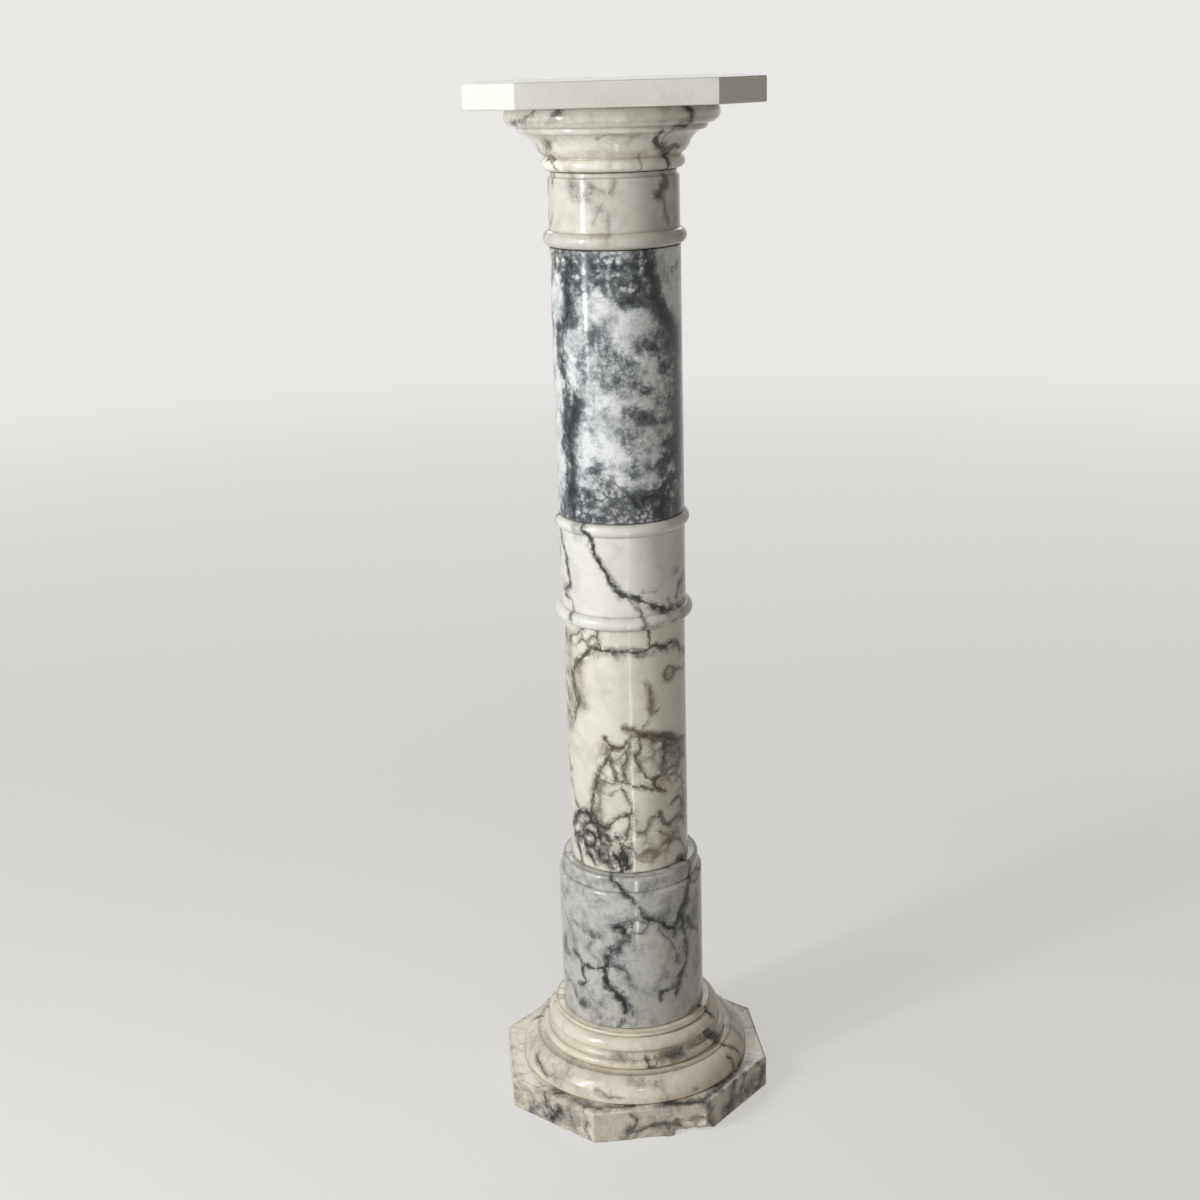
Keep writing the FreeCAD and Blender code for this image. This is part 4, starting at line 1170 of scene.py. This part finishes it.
def chipped(places, loop, depth, seed):
    """Small chips along the sharp edges of a stone: points at its corners pushed in here and there."""
    count = len(loop)
    shift = Vector((seed * 3.7, seed * 1.3, 0))
    for i in range(count):
        if loop[i][0] < HIDDEN_RADIUS:
            continue
        turn = turn_at(loop[i - 1], loop[i], loop[(i + 1) % count])
        if turn < EDGE_TURN:
            continue
        before, after = np.array(loop[i - 2]), np.array(loop[(i + 2) % count])
        inward = (before + after) / 2 - np.array(loop[i])
        size = np.linalg.norm(inward)
        if size < 1e-6:
            continue
        inward /= size
        for k in range(places.shape[1]):
            here = places[i, k]
            chip = noise.noise(Vector(here) / 5.0 + shift) + 0.5 * noise.noise(Vector(here) / 2.0 + shift)
            push = depth * max(0.0, chip - CHIP_FLOOR) * CHIP_GAIN
            if push:
                radius = math.hypot(here[0], here[1])
                here[0] += here[0] / radius * inward[0] * push
                here[1] += here[1] / radius * inward[0] * push
                here[2] += inward[1] * push
    return places


def finish_piece(name, mesh, colours, finish):
    """Makes the object of a stone, named after the piece of the frame that it stands for, with its material,
    fixes it to its body and hides that piece.
    """
    stone = STONES[name]
    piece = bpy.data.objects.new(name + "_stone", mesh)
    bpy.context.scene.collection.objects.link(piece)
    mesh.materials.append(marble(name + "_marble", stone, colours, finish))
    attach(piece, stone.body)
    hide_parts(name)


def turned_stone(name, colours, finish):
    """A stone turned on the lathe, from its section in the frame."""
    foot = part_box(name)[0].z / MM
    loop = refine(section(name), finish.arris / MM)
    widest = max(p[0] for p in loop)
    columns = 16 * math.ceil(2 * math.pi * widest / CELL / 16)
    angles = np.linspace(0, 2 * math.pi, columns, endpoint=False)
    spin = np.stack([np.sin(angles), -np.cos(angles)], 1)
    profile = np.array(loop)
    places = np.empty((len(loop), columns, 3))
    places[..., :2] = profile[:, None, :1] * spin
    places[..., 2] = profile[:, 1:]
    places = chipped(places, loop, finish.chips / MM, len(name))
    mesh = grid_mesh(name, places)
    along = np.repeat(profile[:, 1] - foot, columns)
    mark_stone(mesh, name, STONES[name], along, np.repeat(section_grime_and_shade(loop), columns))
    finish_piece(name, mesh, colours, finish)


def sawn_stone(name, colours, finish, corner, worn, shows, damage=None):
    """A sawn slab with straight sides, from its section and its outline in the frame.

    shows holds the radii outside which its foot and its head show."""
    low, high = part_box(name)
    loop = refine(section(name), worn, *shows)
    edge, ways = rounded(outline(name), corner)
    widest = max(p[0] for p in loop)
    columns = len(edge)
    places = np.empty((len(loop), columns, 3))
    heights = []
    angles = np.arctan2(edge[:, 1], edge[:, 0])
    spin = np.stack([np.cos(angles), np.sin(angles)], 1)
    for i, (radius, level) in enumerate(loop):
        inset = widest - radius
        hem = min(inset, worn)
        share = min(1.0, max(0.0, (radius - HIDDEN_RADIUS) / (widest - hem - HIDDEN_RADIUS)))
        outer = edge - ways * hem
        inner = spin * HIDDEN_RADIUS * (1 - share) if share else spin * radius
        places[i, :, :2] = inner + outer * share
        places[i, :, 2] = level
        over = inset if level > (low.z + high.z) / 2 / MM else -inset
        heights.append(np.full(columns, level - low.z / MM + over))
    grime_and_shade = np.repeat(section_grime_and_shade(loop) * SLAB_GRIME_AND_SHADE, columns)
    if damage:
        places = damage(places)
    places = chipped(places, loop, finish.chips / MM, len(name))
    mesh = grid_mesh(name, places)
    mark_stone(mesh, name, STONES[name], np.concatenate(heights), grime_and_shade)
    finish_piece(name, mesh, colours, finish)


def rise(value, low, high):
    """0 below low, 1 above high, and a smooth rise between them."""
    share = np.clip((value - low) / (high - low), 0, 1)
    return share * share * (3 - 2 * share)


def broken_corner(places):
    """The plinth's lower front edge: a lump knocked off beside the right corner, and a thin shell-shaped
    flake that came off the middle."""
    front = places[..., 1].min()
    near = (places[..., 1] < front + BREAK_REACH) & (places[..., 2] < BREAK_TOP)
    for row, column in np.argwhere(near):
        here = places[row, column]
        x, z = here[0], here[2]
        rough = noise.noise(Vector(here) / 7.0) + 0.6 * noise.noise(Vector(here) / 2.6)
        brow = LUMP_BROW + 3.0 * rough + 4.0 * noise.noise(Vector((x / 14.0, 3.0, 0.0)))
        lump = rise(x + 3 * rough, *LUMP_START) * rise(brow - z, 0.0, 3.0) * (1 - rise(x, *LUMP_END))
        belly = 1.0 - 0.55 * rise(z, 2, 9) * (1 - rise(z, 11, 19))
        arch = FLAKE_HEIGHT - ((x - FLAKE_MIDDLE) / FLAKE_SPREAD) ** 2 + 1.5 * rough
        flake = rise(arch - z, 0.0, 2.5) * (1 - lump)
        here[1] += lump * (LUMP_DEPTH * belly + 1.6 * rough)
        here[1] += flake * (FLAKE_DEPTH + 0.05 * max(0.0, arch - z) + 0.5 * rough)
        here[2] += lump * (1 - rise(z, 0.0, 5.0)) * (LUMP_LIFT + 1.5 * rough)
    return places


# Operators --------------------------------------------------------------------------------------------


class PedestalOperator:
    """What the operators share: the settings of the scene."""

    bl_options = {"REGISTER", "UNDO"}

    @property
    def looks(self):
        scene = bpy.context.scene
        return scene.pedestal_colours, scene.pedestal_finish


class PEDESTAL_OT_base(PedestalOperator, bpy.types.Operator):
    """Build the plinth, the big round and the base collar"""

    bl_idname = "pedestal.base"
    bl_label = "Base"

    def execute(self, context):
        colours, finish = self.looks
        corner = finish.plinth_wear / MM
        sawn_stone("plinth", colours, finish, corner, PLINTH_WORN, PLINTH_SHOWS, broken_corner)
        turned_stone("base_torus", colours, finish)
        turned_stone("base_collar", colours, finish)
        return {"FINISHED"}


class PEDESTAL_OT_shaft(PedestalOperator, bpy.types.Operator):
    """Build the socle drum, the two shafts and the collar between them"""

    bl_idname = "pedestal.shaft"
    bl_label = "Shaft"

    def execute(self, context):
        for name in ("socle_drum", "lower_shaft", "middle_collar", "upper_shaft"):
            turned_stone(name, *self.looks)
        return {"FINISHED"}


class PEDESTAL_OT_head(PedestalOperator, bpy.types.Operator):
    """Build the neck drum and the capital"""

    bl_idname = "pedestal.head"
    bl_label = "Neck and capital"

    def execute(self, context):
        for name in ("neck_drum", "capital"):
            turned_stone(name, *self.looks)
        return {"FINISHED"}


class PEDESTAL_OT_top(PedestalOperator, bpy.types.Operator):
    """Build the square turning top with its clipped corners"""

    bl_idname = "pedestal.top"
    bl_label = "Top"

    def execute(self, context):
        sawn_stone("top_plate", *self.looks, PLATE_CORNER, PLATE_WORN, PLATE_SHOWS)
        return {"FINISHED"}


class PEDESTAL_OT_hardware(PedestalOperator, bpy.types.Operator):
    """Finish the plaster beds, the iron rod and its nuts, and the brass disc"""

    bl_idname = "pedestal.hardware"
    bl_label = "Beds and hardware"

    def execute(self, context):
        plaster = setting_plaster(self.looks[0])
        iron = black_iron()
        brass = worn_brass()
        for name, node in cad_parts.items():
            if name in STONES:
                continue
            material = iron
            if name.startswith("bed_") or name == "bush_setting":
                material = plaster
            elif name == "slip_disc":
                material = brass
            node.data.materials.clear()
            node.data.materials.append(material)
        return {"FINISHED"}


class PEDESTAL_OT_studio(PedestalOperator, bpy.types.Operator):
    """Set up the floor, the lights, the background and the camera"""

    bl_idname = "pedestal.studio"
    bl_label = "Studio"

    def execute(self, context):
        studio = context.scene.pedestal_studio
        studio_floor(studio)
        studio_lights(studio)
        studio_camera(studio)
        context.scene.view_settings.view_transform = "Standard"
        return {"FINISHED"}


# Studio -----------------------------------------------------------------------------------------------


def looked_at(paint):
    """1 for the rays by which the camera, a gloss or glass sees a surface, and 0 for all other rays."""
    path = paint.node("ShaderNodeLightPath").outputs
    seen = Number(paint, path["Is Camera Ray"]).most(Number(paint, path["Is Glossy Ray"]))
    return seen.most(Number(paint, path["Is Transmission Ray"]))


def studio_floor(studio):
    """A round pale floor that keeps the object's shadow, and a pale world."""
    mesh = bpy.data.meshes.new("floor")
    work = bmesh.new()
    bmesh.ops.create_circle(work, cap_ends=True, segments=128, radius=FLOOR_RADIUS)
    work.to_mesh(mesh)
    work.free()
    floor = bpy.data.objects.new("floor", mesh)
    bpy.context.scene.collection.objects.link(floor)
    paint = Paint("floor")
    seen = looked_at(paint)
    away = paint.node("ShaderNodeVectorMath", {"operation": "LENGTH"}, {0: paint.place()}).outputs["Value"]
    far = 1 - band(Number(paint, away) * MM, *FADE_RADII)
    dull = tuple(FLOOR_DULL * part for part in studio.floor)
    glow = tuple(studio.floor_glow * part for part in studio.floor)
    paint.set(
        Base_Color=paint.mix(seen * far, dull, (0, 0, 0)),
        Roughness=0.8,
        Specular_IOR_Level=0.0,
        Emission_Color=paint.mix(seen, (0, 0, 0), paint.mix(far, glow, studio.floor)),
        Emission_Strength=1.0,
    )
    mesh.materials.append(paint.material)
    floor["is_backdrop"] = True

    world = bpy.data.worlds.new("studio")
    world.use_nodes = True
    sky = Paint.on_tree(world.node_tree)
    all_round = tuple(studio.sky * part for part in SKY_TINT)
    pale = sky.mix(looked_at(sky), all_round, studio.floor)
    background = sky.node("ShaderNodeBackground", {}, {"Color": pale})
    sky.node("ShaderNodeOutputWorld", {}, {"Surface": background.outputs[0]})
    bpy.context.scene.world = world


def lamp(name, side, distance, height, size, power, colour, aim):
    """A soft oblong light that faces the column's axis at the height aim.

    Its side is counted in degrees from the camera's towards +X, and its size is breadth by length."""
    data = bpy.data.lights.new(name, "AREA")
    data.shape = "RECTANGLE"
    data.size, data.size_y = size
    data.energy = power
    data.color = colour
    made = bpy.data.objects.new(name, data)
    way = math.radians(CAMERA_SIDE + side)
    made.location = (distance * math.sin(way), -distance * math.cos(way), height)
    look = Vector((0.0, 0.0, aim)) - made.location
    made.rotation_euler = look.to_track_quat("-Z", "Y").to_euler()
    made.visible_camera = False
    bpy.context.scene.collection.objects.link(made)
    return made


def studio_lights(studio):
    """A big soft key on the left, slim strips beside it and in front, weak warm light low in front and
    on the right, and a light behind for the back."""
    # name, side, distance, height, size, power, colour, aim
    lamp("key", -56, 1.9, 1.3, (1.1, 1.3), studio.key_power, COOL, 0.7)
    lamp("left_strip", -55, 1.7, 1.2, (0.13, 1.4), 17.0, COOL, 1.2)
    lamp("front_spot", 5, 2.2, 1.75, (0.12, 0.3), 3.0, WHITE, 1.0)
    lamp("low_front", -6, 1.7, 0.35, (1.5, 0.6), 3.6, CREAM, 0.05)
    lamp("back", 180, 2.4, 1.95, (1.6, 1.0), 12.0, WHITE, 0.5)
    lamp("fill", 75, 2.6, 1.1, (1.2, 1.2), 1.1, AMBER, 0.5)
    strip_side = 8
    strip = lamp("floor_strip", strip_side, 1.3, 0.004, (0.022, 1.7), 2.8, WHITE, 0.0)
    # This one lies on the floor, points at the column and shines straight up
    strip.rotation_euler = (math.pi, 0, math.radians(CAMERA_SIDE + strip_side))


def studio_camera(studio):
    """The camera, turned by its heading, its dip and its roll."""
    data = bpy.data.cameras.new("camera")
    data.lens = studio.lens
    data.sensor_width = 36.0
    camera = bpy.data.objects.new("camera", data)
    heading, dip, roll = studio.heading, studio.dip, studio.roll
    ahead = Vector((math.sin(heading) * math.cos(dip), math.cos(heading) * math.cos(dip), -math.sin(dip)))
    level = Vector((math.cos(heading), -math.sin(heading), 0))
    above = level.cross(ahead)
    right = level * math.cos(roll) + above * math.sin(roll)
    up = above * math.cos(roll) - level * math.sin(roll)
    turned = Matrix((right, up, -ahead)).transposed().to_4x4()
    camera.matrix_world = Matrix.Translation(studio.camera_place) @ turned
    bpy.context.scene.collection.objects.link(camera)
    bpy.context.scene.camera = camera


# Panel and registration -------------------------------------------------------------------------------


class PEDESTAL_PT_panel(bpy.types.Panel):
    """The settings and the steps of the pedestal"""

    bl_idname = "PEDESTAL_PT_panel"
    bl_label = "Marble pedestal"
    bl_space_type = "VIEW_3D"
    bl_region_type = "UI"
    bl_category = "Pedestal"

    def draw(self, context):
        layout = self.layout
        for name in GROUPS:
            group = getattr(context.scene, name)
            box = layout.box()
            for key in group.bl_rna.properties.keys():
                if key not in ("rna_type", "name"):
                    box.prop(group, key)
        for operator in STEPS:
            layout.operator(operator.bl_idname)


STEPS = (
    PEDESTAL_OT_studio,
    PEDESTAL_OT_base,
    PEDESTAL_OT_shaft,
    PEDESTAL_OT_head,
    PEDESTAL_OT_top,
    PEDESTAL_OT_hardware,
)
GROUPS = {
    "pedestal_colours": PedestalColours,
    "pedestal_finish": PedestalFinish,
    "pedestal_studio": PedestalStudio,
}


def register():
    for made in (*GROUPS.values(), *STEPS, PEDESTAL_PT_panel):
        bpy.utils.register_class(made)
    for name, group in GROUPS.items():
        setattr(bpy.types.Scene, name, bpy.props.PointerProperty(type=group))


def unregister():
    for name in GROUPS:
        delattr(bpy.types.Scene, name)
    for made in (PEDESTAL_PT_panel, *reversed(STEPS), *reversed(GROUPS.values())):
        bpy.utils.unregister_class(made)


def main():
    """Builds everything."""
    register()
    for operator in STEPS:
        group, name = operator.bl_idname.split(".")
        getattr(getattr(bpy.ops, group), name)()
    boxes = {"cad": CAD_BOX, "visual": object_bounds()}
    {key: [list(corner) for corner in box] for key, box in boxes.items()}


if __name__ == "__main__":
    main()
